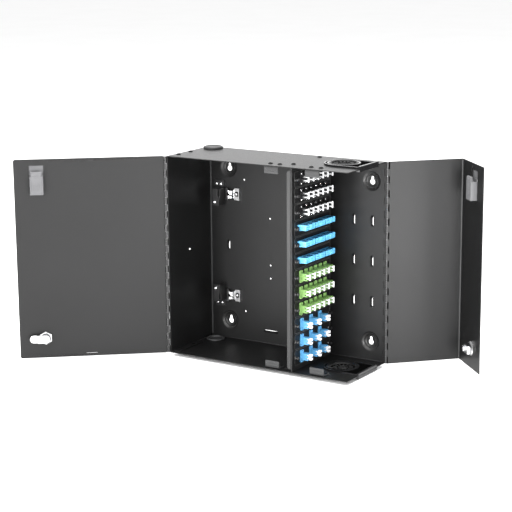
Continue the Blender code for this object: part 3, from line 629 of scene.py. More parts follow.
def build_bulkhead():
    """The partition that holds the adapter panels, with its flanges, lip and windows."""
    low, high = cad_box("bulkhead")
    tall = high.z - low.z
    wall = box((BULKHEAD_X - SHEET, FRONT, low.z), (BULKHEAD_X, high.y, high.z))
    lip = rounded_rectangle(19.4, tall - 10, 5.0, (BULKHEAD_X, 0))
    lip = outline(lip, SHEET, upright(FRONT + SHEET / 2))
    lip = cut(lip, box((BULKHEAD_X, FRONT - 5, low.z), (BULKHEAD_X + 20, FRONT + 10, high.z)))
    wall = joined(wall, lip)
    bend = 2.8
    corner = box((BULKHEAD_X - bend, FRONT - 1, BOTTOM), (BULKHEAD_X + 1, FRONT + bend, TOP))
    kept = cylinder((BULKHEAD_X - bend, FRONT + bend), "Z", bend, BOTTOM - 5, TOP + 5, 48)
    wall = cut(wall, cut(corner, kept))
    # A thin face in a lighter coat over the flat of the lip: a painted highlight.
    face = rounded_rectangle(19.0, tall - 10.4, 4.8, (BULKHEAD_X, 0))
    face = outline([(min(x, BULKHEAD_X - bend), z) for x, z in face], 0.3, upright(FRONT))
    piece(face, "bulkhead_lip_highlight", "enclosure", "lip_highlight_coat", bevel=0.1)
    for side in (-1, 1):
        z0, z1 = sorted((side * high.z, side * (high.z - SHEET)))
        wall = joined(wall, box((BULKHEAD_X - 22, FRONT + 12, z0), (BULKHEAD_X - 0.01, high.y, z1)))
    for y, z in window_spots():
        wall = cut(wall, box((BULKHEAD_X - 5, y - 50.5, z - 11), (BULKHEAD_X + 5, y + 50.5, z + 11)))
    piece(wall, "bulkhead_sheet", "enclosure", "powder_coat", "bulkhead", bevel=0.25)


def build_rivets():
    """Rivets that hold the strikes, the bulkhead's flanges and the left wall's flanges."""
    spots = [(BULKHEAD_X - 15, FRONT + 33), (BULKHEAD_X - 15, FRONT + 127)]
    spots += [(LEFT + 9.5, FRONT + 25), (LEFT + 9.5, FRONT + 65)]
    under = TOP - 2 * SHEET - GAP
    for side, end in ((1, "top"), (-1, "bottom")):
        strikes = [cad_centre(f"strike_{end}_{which}").x for which in ("left", "right")]
        here = spots + [(x + offset, FRONT + 19.5) for x in strikes for offset in (-10, 10)]
        outer = [rivet_head("Z", (x, y, side * TOP), side) for x, y in here]
        inner = [rivet_head("Z", (x, y, side * under), -side, 3.4, 1.2) for x, y in here]
        # The heads are darker than the sheet: painted shade on the domes.
        piece(together(*outer, *inner), f"rivets_{end}", "enclosure", "rivet_shade_coat")


def build_strikes():
    """The grey angle brackets that the doors close against, each with two grooves near its tip."""
    for end, side in (("top", 1), ("bottom", -1)):
        for which in ("left", "right"):
            name = f"strike_{end}_{which}"
            low, high = cad_box(name)
            inner, tip = (high.z, low.z) if side > 0 else (low.z, high.z)
            away = -side
            profile = [(low.y, tip), (low.y, inner + away * 2.2), (low.y + 0.65, inner + away * 0.65)]
            profile += [(low.y + 2.2, inner), (high.y, inner), (high.y, inner + away * SHEET)]
            profile += [(low.y + 2.4, inner + away * SHEET), (low.y + SHEET, inner + away * 2.4)]
            strike = outline(
                [*profile, (low.y + SHEET, tip)], high.x - low.x, sideways((low.x + high.x) / 2)
            )
            strike = round_edges(strike, 1.6, lambda a, b: along("Y")(a, b) and abs(a.z - tip) < 0.1, 4)
            for lift in (5.0, 10.0):
                z = tip - away * lift
                groove = box((low.x + 4, low.y - 1, z - 0.4), (high.x - 4, low.y + 0.3, z + 0.4))
                strike = cut(strike, groove)
            piece(strike, f"{name}_tab", "enclosure", "strike_grey", name, bevel=0.25)


def build_plugs():
    """Blind rubber plugs, each with a rolled rim, a dished face and a barbed neck."""
    under = SHEET + 2 * GAP
    for node, side in (("plug_top_left", 1), ("plug_bottom_left", -1)):
        low, high = cad_box(node)
        x, y = (low.x + high.x) / 2, (low.y + high.y) / 2
        radius = (high.x - low.x) / 2
        profile = [(0, 3.4), (radius - 6.5, 3.4), (radius - 5.4, 3.8), (radius - 5.0, 4.4)]
        angles = [radians(15 * i) for i in range(8)]
        profile += [(radius - 2.6 + 2.6 * sin(a), 1.9 + 2.6 * cos(a)) for a in angles]
        profile += [(radius, 0), (16.6, 0), (16.6, -under), (17.9, -under - 0.2), (18.2, -under - 1.0)]
        profile += [(16.9, -under - 2.9), (14.6, -under - 3.0), (14.2, -under - 2.4)]
        profile += [(13.9, -under - 0.6), (0, -under - 0.6)]
        plug = turned(profile, facing("Z", (x, y, side * (TOP + GAP)), side), 56)
        piece(plug, f"{node}_rubber", "enclosure", "black_rubber", node)


def build_entry(name, side):
    """A cable entry: the frame with its ring, lip and troughs, and the membrane with its petals."""
    low, high = cad_box(f"{name}_frame")
    x, y = cad_centre(f"{name}_membrane").xy
    radius = (high.y - low.y) / 2
    under = TOP - SHEET - GAP

    def plate(size, near, far):
        points = [(RIGHT - 0.6, y - size), *arc((x, y), size, 270, 90, 40), (RIGHT - 0.6, y + size)]
        return outline(points, abs(far - near), level(side * (near + far) / 2))

    def slab(length, half, near, far):
        z0, z1 = sorted((side * near, side * far))
        return box((RIGHT - length, y - half, z0), (RIGHT, y + half, z1))

    def disc(size, near=TOP - 12, far=TOP + 12):
        z0, z1 = sorted((side * near, side * far))
        return cylinder((x, y), "Z", size, z0, z1, 64)

    def trough(inset, inner, length, near, far):
        """A slice of the plate between the ring and the lip."""
        lip = slab(length, 40, TOP - 12, TOP + 12)
        return cut(plate(radius - inset, near, far), disc(inner), lip)

    made = joined(
        plate(33.7, TOP - 3, TOP + 2),
        plate(radius, TOP + GAP, TOP + 3.3),
        plate(radius, under - 2.6, under),
        slab(4, 35, TOP + GAP, TOP + 4.6),
        slab(4, 35, TOP - 5.2, under),
    )
    troughs = [
        trough(2.4, RING_OUT, 5.6, near, far) for near, far in ((TOP + 1.2, TOP + 6), (TOP - 7, under - 0.9))
    ]
    # Thin black plates over the troughs' floors: painted shade in the troughs.
    floor_heights = ((TOP + 1.0, TOP + 1.5), (under - 1.2, under - 0.7))
    shade_floors = [trough(2.7, RING_OUT + 0.3, 5.8, near, far) for near, far in floor_heights]
    made = cut(made, disc(RING_IN - 2.5), disc(RING_IN, TOP, TOP + 12), *troughs)
    piece(together(*shade_floors), f"{name}_trough_painted_shade", name, "painted_shade_black")
    piece(made, f"{name}_slide_frame", name, "black_plastic", f"{name}_frame", bevel=0.6)

    collar = [(RING_IN - 4.2, 2.8), (RING_IN - 3.4, 3.9), (RING_IN - 2.2, 4.3), (RING_IN - 1.0, 4.0)]
    collar += [(RING_IN - GAP, 3.2), (RING_IN - GAP, GAP), (RING_IN - 2.8, GAP), (RING_IN - 2.8, -2.6)]
    collar += [(RING_IN - 3.2, -3.0), (RING_IN - 4.2, -3.0), (RING_IN - 4.2, 2.8)]
    web = [(8.3, -0.2), (23.4, -0.2), (23.4, -1.2), (8.3, -1.2), (8.3, -0.2)]
    inner_ring = [(8.3, 0.6), (9.0, 1.2), (9.8, 0.6), (9.8, -1.4), (9.0, -2.0), (8.3, -1.4), (8.3, 0.6)]
    petal = [(12.0, -0.9), (18.6, -1.5), (19.4, 0), (18.6, 1.5), (12.0, 0.9)]
    place = facing("Z", (x, y, side * TOP), side)
    # The web is flat black, darker than the rubber: painted shade inside the ring.
    piece(turned(web, place, 64), f"{name}_rubber_web", name, "painted_shade_black")
    shapes = [turned(profile, place, 64) for profile in (collar, inner_ring)]
    for i in range(PETALS):
        turn = Matrix.Rotation(2 * pi * (i + 0.5) / PETALS, 4, "Z")
        shapes.append(moved(outline(petal, 4.4, level(0.1)), place @ turn))
    rubber_parts = together(*shapes)
    piece(rubber_parts, f"{name}_rubber_petals", name, "membrane_rubber", f"{name}_membrane", bevel=0.5)


# Adapters


def lc_adapter(reach):
    """A duplex LC adapter: two square ports one above the other, a flange with ears, and latch slots."""
    body = box((-14, -4.7, -6.5), (reach, 4.7, 6.5))
    made = joined(body, outline(rounded_rectangle(9.4, 23, 1.6), 2.4, sideways(2.7)))
    for z in (-3.15, 3.15):
        made = cut(
            made,
            box((reach - 6, -2.9, z - 2.6), (reach + 2, 2.9, z + 2.6)),
            box((-16, -2.9, z - 2.6), (-8, 2.9, z + 2.6)),
            box((reach - 4.5, -6.0, z - 1.1), (reach + 2, -2.0, z + 1.1)),
        )
    for z in (-9.0, 9.0):
        made = cut(made, cylinder((0, z), "X", 1.1, -5, 10, 12))
    for y0, y1 in ((-6.0, -3.9), (3.9, 6.0)):
        made = cut(made, box((4.6, y0, -7.5), (7.6, y1, 7.5)))
    return made


def lc_cap(reach, end, half, joint, width, mouth=1.6):
    """A pair of dust caps: two prongs in the ports, joined by a taller grip at their end."""
    grip = end - joint
    upper = [(reach - 4.5, mouth), (reach - 4.5, half - 1.7), (grip - 0.8, half - 1.7), (grip + 0.6, half)]
    upper += [(end - 0.5, half), (end, half - 0.6)]
    lower = [(x, -z) for x, z in reversed(upper)]
    return outline([(grip, mouth), *upper, *lower, (grip, -mouth)], width, upright(0))


def split_cap(reach, end, half, width):
    """A pair of dust caps that are joined near the adapter and part towards their grips."""
    upper = [(reach - 4.5, half - 1.6), (reach + 0.6, half - 1.6), (reach + 1.6, half - 0.4)]
    upper += [(end - 2.4, half), (end - 0.4, half - 0.4), (end, half - 1.2), (end, 1.6)]
    upper += [(end - 0.6, 1.0), (reach + 1.8, 0.8)]
    lower = [(x, -z) for x, z in reversed(upper)]
    return outline([*upper, *lower], width, upright(0))


def sc_adapter():
    """A duplex SC adapter on its side: an ear along its top, two ports, and windows in its upper face."""
    made = joined(
        box((-12, -13.3, -4.65), (5.8, 13.3, 4.65)),
        box((5.4, -16.7, -3.0), (18.8, 16.7, 7.0)),
        box((1.6, -17.9, 3.8), (5.8, 17.9, 7.0)),
    )
    for y in SC_PORTS:
        made = cut(
            made,
            box((12.0, y - 6.4, -1.8), (22, y + 6.4, 5.4)),
            box((15.4, y - 2.4, 4.8), (22, y + 2.4, 9)),
            *(box((x0, y - 7.2, 4.6), (x1, y + 7.2, 9)) for x0, x1 in SC_WINDOWS),
            box((-16, y * 0.75 - 5, -3.4), (-7, y * 0.75 + 5, 3.4)),
        )
    return cut(made, box((8.0, -0.9, 5.4), (22, 0.9, 9)), box((18.4, -0.5, -6), (22, 0.5, 9)))


def sc_caps():
    """The plugs in a duplex SC adapter's ports, nearly level with its face."""
    plugs = []
    for y in SC_PORTS:
        plugs.append(box((11.8, y - 6.1, -1.5), (18.0, y + 6.1, 5.1)))
        plugs.append(box((17.6, y - 4.2, 1.2), (19.4, y + 4.2, 2.2)))
    return together(*plugs)


def sc_window_shade():
    """Dark blue slabs in a duplex SC adapter's windows and in the gap at its side: painted shade."""
    shade_slabs = [
        box((x0 + 0.1, y - 7.1, 4.4), (x1 - 0.1, y + 7.1, 6.85)) for x0, x1 in SC_WINDOWS for y in SC_PORTS
    ]
    return together(*shade_slabs, box((6.2, 16.9, -2.7), (18.0, 19.5, 6.2)))


def push_fastener():
    """A push-pull plunger: a collar in the plate and a ribbed head on a stem."""
    head = [(0, 8.5), (1.9, 8.5), (2.9, 8.1), (3.2, 7.2), (3.2, 5.6), (2.6, 5.2), (2.6, 4.6)]
    collar = [(3.4, 4.2), (3.4, 3.2), (3.9, 2.9), (4.3, 2.3), (4.3, 1.4)]
    stem = [(2.2, 1.4), (2.2, -3.6), (1.2, -5.0), (0, -5.0)]
    return turned([*head, *collar, *stem], facing("X", (0, 0, 0)), 28)


def spread(obj, places):
    """Copies of a shape at several places along Y, as one mesh."""
    copies = [shifted(copy_of(obj), (0, y, 0)) for y in places]
    bpy.data.objects.remove(obj)
    return together(*copies)


def fixed_copy(source, name, offset, look, bevel):
    """A copy of a panel's part, in its place in one row."""
    return piece(shifted(copy_of(source), offset), name, "enclosure", look, bevel=bevel)


def build_panels():
    """Twelve adapter panels: four kinds, each in three rows."""
    plate = outline(rounded_rectangle(130, 29.4, 3.0), SHEET, sideways(SHEET / 2))
    # A thin ring over the plate's edge, in a lighter coat: a painted highlight along the edge.
    rim = outline(rounded_rectangle(129.4, 29.2, 3.0), 0.9, sideways(1.2))
    rim = cut(rim, outline(rounded_rectangle(127.0, 26.6, 2.0), 9, sideways(1.2)))
    fasteners = spread(push_fastener(), (-60.3, 60.3))
    six = [(i - 2.5) * 17.4 for i in range(6)]
    three_lc = [(i - 1) * 32.6 - 8.0 for i in range(3)]
    three_sc = [(i - 1) * 36.4 for i in range(3)]
    clip = together(*(box((3.4, -1.9, z - 1.2), (4.6, 1.9, z + 1.2)) for z in (-9.0, 9.0)))
    kinds = [
        [
            ("adapters_black", spread(lc_adapter(12.8), six), "black_plastic", 0.25),
            ("caps", spread(lc_cap(12.8, 20.0, 6.3, 2.5, 2.0, 2.3), six), "white_plastic", 0.25),
            ("clips", spread(clip, six), "screw_metal", 0.25),
        ],
        [
            ("adapters_blue", spread(sc_adapter(), three_sc), "blue_plastic", 0.3),
            ("plugs", spread(sc_caps(), three_sc), "blue_plastic", 0.3),
            ("shade_slabs", spread(sc_window_shade(), three_sc), "shade_blue_plastic", 0.0),
        ],
        [
            ("adapters_green", spread(lc_adapter(17.5), six), "green_plastic", 0.25),
            ("caps", spread(lc_cap(17.5, 22.8, 5.7, 2.2, 2.8), six), "white_plastic", 0.25),
        ],
        [
            ("adapters_blue", spread(lc_adapter(18.0), three_lc), "lc_blue_plastic", 0.25),
            ("caps", spread(split_cap(18.0, 25.0, 5.9, 3.8), three_lc), "white_plastic", 0.25),
        ],
    ]
    for row, (y, z) in enumerate(window_spots()):
        node = f"adapter_panel_{row + 1:02d}"
        offset = (BULKHEAD_X + GAP, y, z)
        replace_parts(fixed_copy(plate, f"{node}_plate", offset, "panel_and_shade_coat", 0.5), node)
        fixed_copy(rim, f"{node}_plate_edge_highlight", offset, "highlight_coat", 0.35)
        fixed_copy(fasteners, f"{node}_push_fasteners", offset, "black_plastic", 0.0)
        for part, source, look, bevel in kinds[row // 3]:
            fixed_copy(source, f"{node}_{part}", offset, look, bevel)
    for source in (plate, rim, fasteners, *(source for kind in kinds for _, source, _, _ in kind)):
        bpy.data.objects.remove(source)


# Cable clamps


def build_clamp(name, side):
    """A cable clamp and its bracket, whose wide foot is at its upper end if side is above 0."""
    build_saddle(f"cable_clamp_{name}")
    build_bracket(f"clamp_bracket_{name}", side)


def build_saddle(node):
    """The bright saddle of a cable clamp, with its washer and screw."""
    low, high = cad_box(node)
    middle = (low.z + high.z) / 2
    back = high.y
    ridge = low.x + 9.0
    half = (high.z - low.z) / 2
    saddle = joined(
        cylinder((ridge, back), "Z", 9.0, middle - half, middle + half, 56),
        box((ridge + 5, back - SHEET, middle - half), (high.x, back, middle + half)),
        box((high.x - 1.4, back - 4.4, middle - half), (high.x, back, middle + half)),
    )
    across = Matrix.Translation(Vector((ridge, back - 10, middle + 0.5)) * MM)
    across = across @ Matrix.Rotation(radians(30), 4, "Y")
    oval = Matrix.Rotation(pi / 2, 4, "X") @ Matrix.Diagonal((4.2, 3.0, 1, 1))
    saddle = cut(
        saddle,
        cylinder((ridge, back), "Z", 7.5, middle - 20, middle + 20, 56),
        box((ridge - 20, back, middle - 20), (ridge + 40, back + 20, middle + 20)),
        cylinder((ridge + 4.5, middle - half - 1.4), "Y", 6.2, back - 20, back + 5, 48),
        cylinder((ridge + 4.5, middle + half + 1.4), "Y", 6.2, back - 20, back + 5, 48),
        moved(box((-14, -14, -1.1), (11, 9.5, 1.1)), across),
        moved(outline(arc((0, 0), 1.0, 0, 345, 23), 40, oval), across),
    )
    piece(saddle, f"{node}_saddle", "enclosure", "bright_metal", node, bevel=0.3)
    x, z = high.x - 7.0, middle + 0.5
    washer = [(5.0, 0.7), (5.2, 0.5), (5.2, -0.1), (2.0, -0.1), (2.0, 0.7), (5.0, 0.7)]
    washer = turned(washer, facing("Y", (x, back - SHEET, z), -1), 28)
    piece(washer, f"{node}_washer", "enclosure", "black_plastic")
    screw = pan_screw((x, back - SHEET - 0.6, z), 2.8, 2.6)
    piece(screw, f"{node}_screws", "enclosure", "screw_metal")


def build_bracket(node, side):
    """The raised black bracket at a clamp's left, with its screws and a grey strip on its edge, a painted
    highlight.
    """
    low, high = cad_box(node)
    end = high.z if side > 0 else low.z
    back = high.y

    def block(x0, x1, y0, y1, from_end0, from_end1):
        z0, z1 = sorted((end - side * from_end0, end - side * from_end1))
        return box((low.x + x0, y0, z0), (low.x + x1, y1, z1))

    bracket = joined(
        block(8, 23, low.y, low.y + SHEET, 14, 47),
        block(21.5, 23, low.y, back, 14, 47),
        block(19, 23, back - SHEET, back, 0, 47),
        block(0, 23, back - SHEET, back, 0, 12),
    )
    bracket = cut(bracket, block(19.5, 25, low.y - 1, low.y + 3, 12, 30))
    # The bracket is lighter than the box: painted light on its raised plate.
    piece(bracket, f"{node}_sheet", "enclosure", "bracket_lit_coat", node, bevel=0.35)
    # A grey strip along the raised plate's edge: a painted highlight.
    edge = block(19.0, 19.6, low.y - 0.3, low.y + SHEET, 15, 30)
    piece(edge, f"{node}_edge", "enclosure", "strike_grey", bevel=0.2)
    screw_z = end - side * 7.0
    screws = [
        pan_screw((low.x + 5.5, back - SHEET, screw_z), 3.0, 2.4),
        pan_screw((low.x + 15.5, back - SHEET, screw_z), 3.2, 2.4),
        pan_screw((low.x + 13, low.y, end - side * 40), 3.4, 2.4),
    ]
    piece(together(*screws), f"{node}_screws", "enclosure", "screw_metal")
    washer = [(5.2, 1.0), (3.0, 1.0), (3.0, 0), (5.2, 0), (5.2, 1.0)]
    washer = turned(washer, facing("Y", (low.x + 17.0, back - SHEET, screw_z), -1), 24)
    piece(washer, f"{node}_washer", "enclosure", "strike_grey", bevel=0.2)


# Doors


def latch_middle(side):
    """The x and z that a latch's sizes are measured from, with its door closed."""
    low, high = closed_box(side, f"{side}_latch_housing")
    return (low.x + high.x) / 2, high.z - 32.0


def lock_middle(side):
    """The x and z of a lock's axis, with its door closed."""
    low, high = closed_box(side, f"{side}_lock_barrel")
    return (low.x + high.x) / 2, (low.z + high.z) / 2


def build_doors():
    """The flat left door and the L-shaped right door, with the openings for their latch and lock."""
    face = closed_box("left", "left_door")[0].y + SHEET
    for side in ("left", "right"):
        low, high = closed_box(side, f"{side}_door")
        leaf = f"{side}_door_leaf"
        if side == "left":
            low.x -= 0.2
            plan = rounded_rectangle(high.x - low.x, high.z - low.z, 4.0, ((low.x + high.x) / 2, 0))
            door = outline(plan, SHEET, upright(low.y + SHEET / 2))
            lances = [((LEFT + 145.0, end * (TOP - 4.6)), "X", 27.0) for end in (-1, 1)]
        else:
            high.y += 0.3
            bend = lambda a, b: along("Z")(a, b) and a.x > RIGHT and a.y < FRONT
            door = round_edges(box(low, high), 2.6, bend, 6)
            hollow = box((low.x - 5, face, low.z - 5), (high.x - SHEET, high.y + 5, high.z + 5))
            door = cut(door, round_edges(hollow, 1.1, bend, 6))
            lances = [((LEFT + 339.0, TOP - 12.5), "Z", 13.0)]
            # A grey fillet in the inner corner of the bend: a painted highlight along the bend.
            corner = high.x - SHEET
            highlight_strip = [(corner, face + 1.7), (corner - 0.5, face + 1.4), (corner - 1.4, face + 0.5)]
            highlight_strip += [(corner - 1.7, face), (corner, face)]
            highlight_strip = outline(highlight_strip, high.z - low.z - 2, level(0))
            piece(highlight_strip, "right_door_bend_highlight", leaf, "strike_grey", door=side)
        latch_x, latch_z = latch_middle(side)
        lock_x, lock_z = lock_middle(side)
        straps = [bridge(centre, axis, length, 3.6, 2.2, face, 1) for centre, axis, length in lances]
        door = cut(
            door,
            box((latch_x - 13.5, face - 9, latch_z - 25.8), (latch_x + 13.5, face + 5, latch_z + 29.0)),
            cylinder((lock_x, lock_z), "Y", 9.6, face - 9, face + 5, 40),
            *(slot for _, slot in straps),
        )
        door = joined(door, *(strap for strap, _ in straps))
        piece(door, f"{side}_door_sheet", leaf, "powder_coat", f"{side}_door", door=side, bevel=0.25)


def knuckles(axis, first, body, name, web, replaced, *strips, door=None):
    """Every second rolled knuckle of a piano hinge, and the webs and strips that go with them; the knuckles
    take a lighter coat, a painted highlight along the barrels.
    """
    pitch = 2 * HINGE_END / KNUCKLES
    (x0, y0), (x1, y1) = web
    barrels = []
    webs = [box((*near, -HINGE_END), (*far, HINGE_END)) for near, far in strips]
    for knuckle in range(first, KNUCKLES, 2):
        start = -HINGE_END + knuckle * pitch + 0.2
        end = start + pitch - 0.4
        outer = [(1.45, end), (2.1, end), (2.2, end - 0.1), (2.2, start + 0.1), (2.1, start)]
        barrels.append(turned([*outer, (1.45, start), (1.45, end)], facing("Z", (*axis, 0)), 28))
        webs.append(box((x0, y0, start), (x1, y1, end)))
    piece(together(*barrels), f"{name}_knuckles", body, "knuckle_highlight_coat", replaced, door=door)
    piece(together(*webs), f"{name}_webs", body, "powder_coat", door=door)


def build_hinges():
    """Two piano hinges, each with knuckles on the frame and on the door, a pin and a black strip of painted
    shade beside the door's knuckles.
    """
    thick = 0.8
    for side in ("left", "right"):
        x, y = (value / MM for value in JOINTS[f"{side}_door_hinge"]["pos_m"][:2])
        door_face = closed_box(side, f"{side}_door")[0].y + SHEET
        leaf = f"{side}_door_leaf"
        if side == "left":
            inner = door_face + GAP
            wall = LEFT - GAP
            strip = ((wall - thick, FRONT + 0.5), (wall, FRONT + 9.5))
            frame_web = ((wall - thick, y + 0.9), (wall, FRONT + 1.0))
            door_web = ((x + 1.5, inner), (x + 3.8, inner + thick))
            recess = box((x + 2.4, door_face, -HINGE_END), (x + 3.8, inner, HINGE_END))
        else:
            back = BACK - SHEET - GAP
            face = RIGHT + 1.7 - GAP
            strip = ((RIGHT - 4.2, back - thick), (RIGHT - 3.4, back))
            frame_web = ((RIGHT - 3.4, back - thick), (x - 1.5, back))
            door_web = ((face - thick, y - 4.0), (face, y - 1.2))
            recess = box((face, y - 4.4, -HINGE_END), (face + GAP, y - 2.4, HINGE_END))
        name = f"{side}_hinge"
        knuckles((x, y), 0, "enclosure", f"{name}_frame_side", frame_web, f"{name}_frame_leaf", strip)
        knuckles((x, y), 1, leaf, f"{name}_door_side", door_web, f"{name}_door_leaf", door=side)
        # A black strip in the gap beside the door's knuckles: painted shade.
        piece(recess, f"{name}_recess", leaf, "painted_shade_black", door=side)
        end = TOP - 0.4
        pin = [(0, end), (0.8, end), (1.1, end - 0.4), (1.1, 0.4 - end), (0.8, -end), (0, -end)]
        pin = turned(pin, facing("Z", (x, y, 0)), 20)
        piece(pin, f"{name}_rod", "enclosure", "pin_metal", f"{name}_pin")


def build_latch(side):
    """A slide latch: a case in the door, and a slider with a ribbed grip on its outer side."""
    x, z = latch_middle(side)
    y = closed_box(side, f"{side}_latch_housing")[0].y + 1.5
    leaf = f"{side}_door_leaf"

    def block(half, y0, y1, z0, z1, dx=0.0):
        return box((x + dx - half, y + y0, z + z0), (x + dx + half, y + y1, z + z1))

    case = joined(block(12.3, -0.8, 13.4, -24.5, 9.5), block(15.5, -1.5, -GAP, -28, 32))
    front_corners = lambda a, b: along("Z")(a, b) and a.y > y + 13 and abs(b.x - x) > 12
    case = round_edges(case, 1.2, front_corners, 3)
    case = cut(case, block(10.3, 3.0, 11.9, -19.3, 20), block(8.5, -3.0, 3.1, -10, 13.5))
    panes = block(5.4, 12.5, 15, -12.6, -8.4), block(5.4, 12.5, 15, -7.2, -3.4)
    frame_mark = cut(block(6.3, 13.0, 14.5, -13.5, -2.5), *panes)
    side_grooves = [block(0.35, 13.0, 14.5, -22, 8, dx) for dx in (-9.6, 9.6)]
    case = cut(case, frame_mark, *side_grooves)
    piece(case, f"{side}_latch_case", leaf, "grey_plastic", f"{side}_latch_housing", door=side, bevel=0.3)
    slider = joined(
        block(10.0, 3.3, 11.6, -19, 9.2),
        block(10.0, 9.4, 13.4, 9.8, 18.5),
        block(10.0, 9.4, 11.6, 9.0, 10.0),
        block(8.2, -0.25, 0.75, 3.9, 14.3),
        block(8.0, -2.5, 3.5, -9.5, 4.0),
    )
    slope = Matrix.Translation(Vector((x, y + 15.2, z + 19.5)) * MM) @ Matrix.Rotation(radians(35), 4, "X")
    slope = moved(box((-20, -3, -3), (20, 3, 3)), slope)
    grips = [block(8.5, -3.0, -1.9, g - 0.45, g + 0.45) for g in (-8.0, -5.8, -3.6, -1.4, 0.8, 3.0)]
    slider = cut(slider, slope, *grips)
    name = f"{side}_latch"
    piece(slider, f"{name}_slide_piece", name, "grey_plastic", f"{name}_slider", door=side, bevel=0.3)


def build_lock(side, reach):
    """A cam lock: the barrel with its thread, hex nut, key plug, joggled cam and cap nut."""
    body, leaf = f"{side}_lock", f"{side}_door_leaf"
    x, z = lock_middle(side)
    y = closed_box(side, f"{body}_barrel")[0].y + 1.8
    outer = facing("Y", (x, y, z), 1)
    thread = []
    turns = 9
    for i in range(turns):
        at = 5.4 + (12.6 - 5.4) * i / turns
        thread += [(9.3, at), (8.7, at + 0.4)]
    barrel = [(6.3, 13.0), (8.7, 13.0), (9.0, 12.8), *reversed(thread), (9.3, 5.0), (9.3, -GAP)]
    barrel += [(11.8, -GAP), (11.8, -1.1), (11.2, -1.7), (7.4, -1.8), (6.3, -1.2), (6.3, 13.0)]
    case = turned(barrel, outer, 48)
    flats = [box((x + s * 8.3, y + 2.0, z - 12), (x + s * 14, y + 20, z + 12)) for s in (-1, 1)]
    piece(cut(case, *flats), f"{body}_case", leaf, "lock_metal", f"{body}_barrel", door=side)
    nut_y = y + SHEET + GAP
    nut = cylinder((x, z), "Y", 12.7, nut_y, nut_y + 4.0, 6)
    cone = [(0, 4.0), (10.6, 4.0), (13.0, 2.6), (13.0, 1.2), (12.2, 0), (0, 0)]
    nut = combine(nut, [turned(cone, facing("Y", (x, nut_y, z), 1), 48)], "INTERSECT")
    nut = cut(nut, cylinder((x, z), "Y", 9.6, y, y + 10, 48))
    piece(nut, f"{body}_hex_nut", leaf, "bright_metal", f"{body}_nut", door=side, bevel=0.2)

    plug = [(0, 12.9), (5.4, 12.9), (6.0, 12.3), (6.0, -1.6), (5.4, -2.3), (2.0, -2.4), (0, -2.4)]
    core = joined(
        turned(plug, outer, 40),
        box((x - 2.8, y + 12.0, z - 2.8), (x + 2.8, y + 15.3, z + 2.8)),
        cylinder((x, z), "Y", 2.4, y + 15.0, y + 18.8, 24),
    )
    key_slot = box((x - 0.75, y - 3, z - 4), (x + 0.75, y + 6, z + 4))
    core = cut(core, key_slot, cylinder((x, z), "Y", 1.5, y - 3, y + 4, 20))
    piece(core, f"{body}_core", body, "bright_metal", f"{body}_plug", door=side)

    half, step, length = 7.5, 15.0, 30.0
    bends = [(-half - 1, 13.3), (step - 0.6, 13.3), (step + 1.6, 9.8), (length + 1, 9.8)]
    bends += [(length + 1, 11.6), (step + 2.6, 11.6), (step + 0.4, 15.1), (-half - 1, 15.1)]
    cam = outline([(x + reach * a, y + b) for a, b in bends], 2 * half + 2, level(z))
    tip = x + reach * (length - half)
    ends = min(x, tip), max(x, tip)
    plan = [*arc((ends[1], z), half, -90, 90, 20), *arc((ends[0], z), half, 90, 270, 20)]
    cam = combine(cam, [outline(plan, 20, upright(y + 12))], "INTERSECT")
    cam = cut(cam, box((x - 3.1, y + 10, z - 3.1), (x + 3.1, y + 20, z + 3.1)))
    piece(cam, f"{body}_cam_plate", body, "bright_metal", f"{body}_cam", door=side, bevel=0.35)
    cap_y = y + 15.6
    cap = cylinder((x, z), "Y", 5.6, cap_y, y + 18.4, 6)
    cone = [(0, 2.8), (4.6, 2.8), (5.8, 2.0), (5.8, 0), (0, 0)]
    cap = combine(cap, [turned(cone, facing("Y", (x, cap_y, z), 1), 40)], "INTERSECT")
    cap = cut(cap, cylinder((x, z), "Y", 2.7, y + 10, y + 25, 24))
    piece(cap, f"{body}_cap_nut", body, "screw_metal", f"{body}_cam_nut", door=side, bevel=0.15)


# Stage


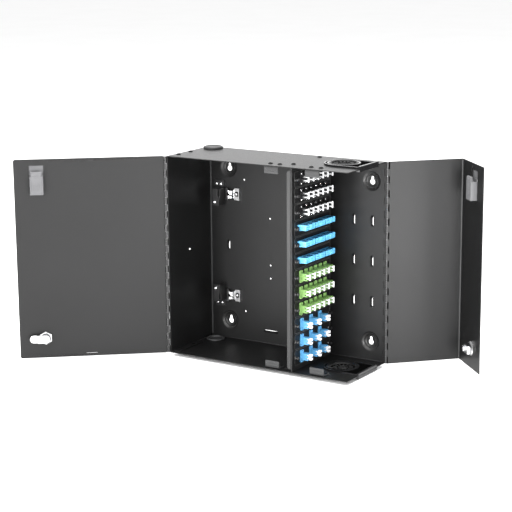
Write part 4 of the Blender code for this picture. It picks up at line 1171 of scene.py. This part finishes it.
def area_light(name, place, target, size, watts):
    """A soft rectangular light, in metres and watts, that the camera doesn't see."""
    data = bpy.data.lights.new(name, "AREA")
    data.shape = "RECTANGLE"
    data.size, data.size_y = size
    data.energy = watts
    light = bpy.data.objects.new(name, data)
    bpy.context.scene.collection.objects.link(light)
    light.location = place
    light.visible_camera = False
    light.rotation_euler = (Vector(target) - Vector(place)).to_track_quat("-Z", "Y").to_euler()


def build_stage():
    """A pale floor, a white world and the soft lights."""
    bm = bmesh.new()
    bmesh.ops.create_grid(bm, x_segments=1, y_segments=1, size=40.0)
    floor = from_bmesh(bm)
    floor.name = "floor"
    floor.location.z = cad_low.z - 0.0015
    made, tree, shader = node_material("pale_floor", (0.94, 0.94, 0.94), 0.6)
    cloud = noise(tree, coordinates(tree), 3.0)
    vary_colour(tree, shader, cloud, (0.93, 0.93, 0.93), (0.95, 0.95, 0.95))
    floor.data.materials.append(made)
    bpy.context.scene.view_settings.view_transform = "Standard"
    world = bpy.data.worlds.new("studio")
    bpy.context.scene.world = world
    world.use_nodes = True
    background = world.node_tree.nodes["Background"]
    background.inputs["Color"].default_value = (1.0, 1.0, 1.0, 1.0)
    background.inputs["Strength"].default_value = 1.0
    for light in LIGHTS:
        area_light(*light)


def build_camera():
    data = bpy.data.cameras.new("camera")
    data.sensor_width = 36.0
    data.lens = CAMERA_LENS
    data.clip_start, data.clip_end = 0.05, 60.0
    camera = bpy.data.objects.new("camera", data)
    bpy.context.scene.collection.objects.link(camera)
    camera.location = CAMERA_PLACE
    yaw, pitch, roll = (radians(angle) for angle in CAMERA_ANGLES)
    forward = Vector((sin(yaw) * cos(pitch), cos(yaw) * cos(pitch), sin(pitch)))
    aim = forward.to_track_quat("-Z", "Y").to_matrix().to_4x4()
    camera.matrix_world = Matrix.Translation(camera.location) @ aim @ Matrix.Rotation(roll, 4, "Z")
    bpy.context.scene.camera = camera


def main():
    build_shell()
    build_left_side()
    build_bulkhead()
    build_rivets()
    build_strikes()
    build_plugs()
    build_entry("top_entry", 1)
    build_entry("bottom_entry", -1)
    build_panels()
    build_clamp("upper", 1)
    build_clamp("lower", -1)
    build_doors()
    build_hinges()
    build_latch("left")
    build_latch("right")
    build_lock("left", 1)
    build_lock("right", -1)
    build_stage()
    build_camera()


main()
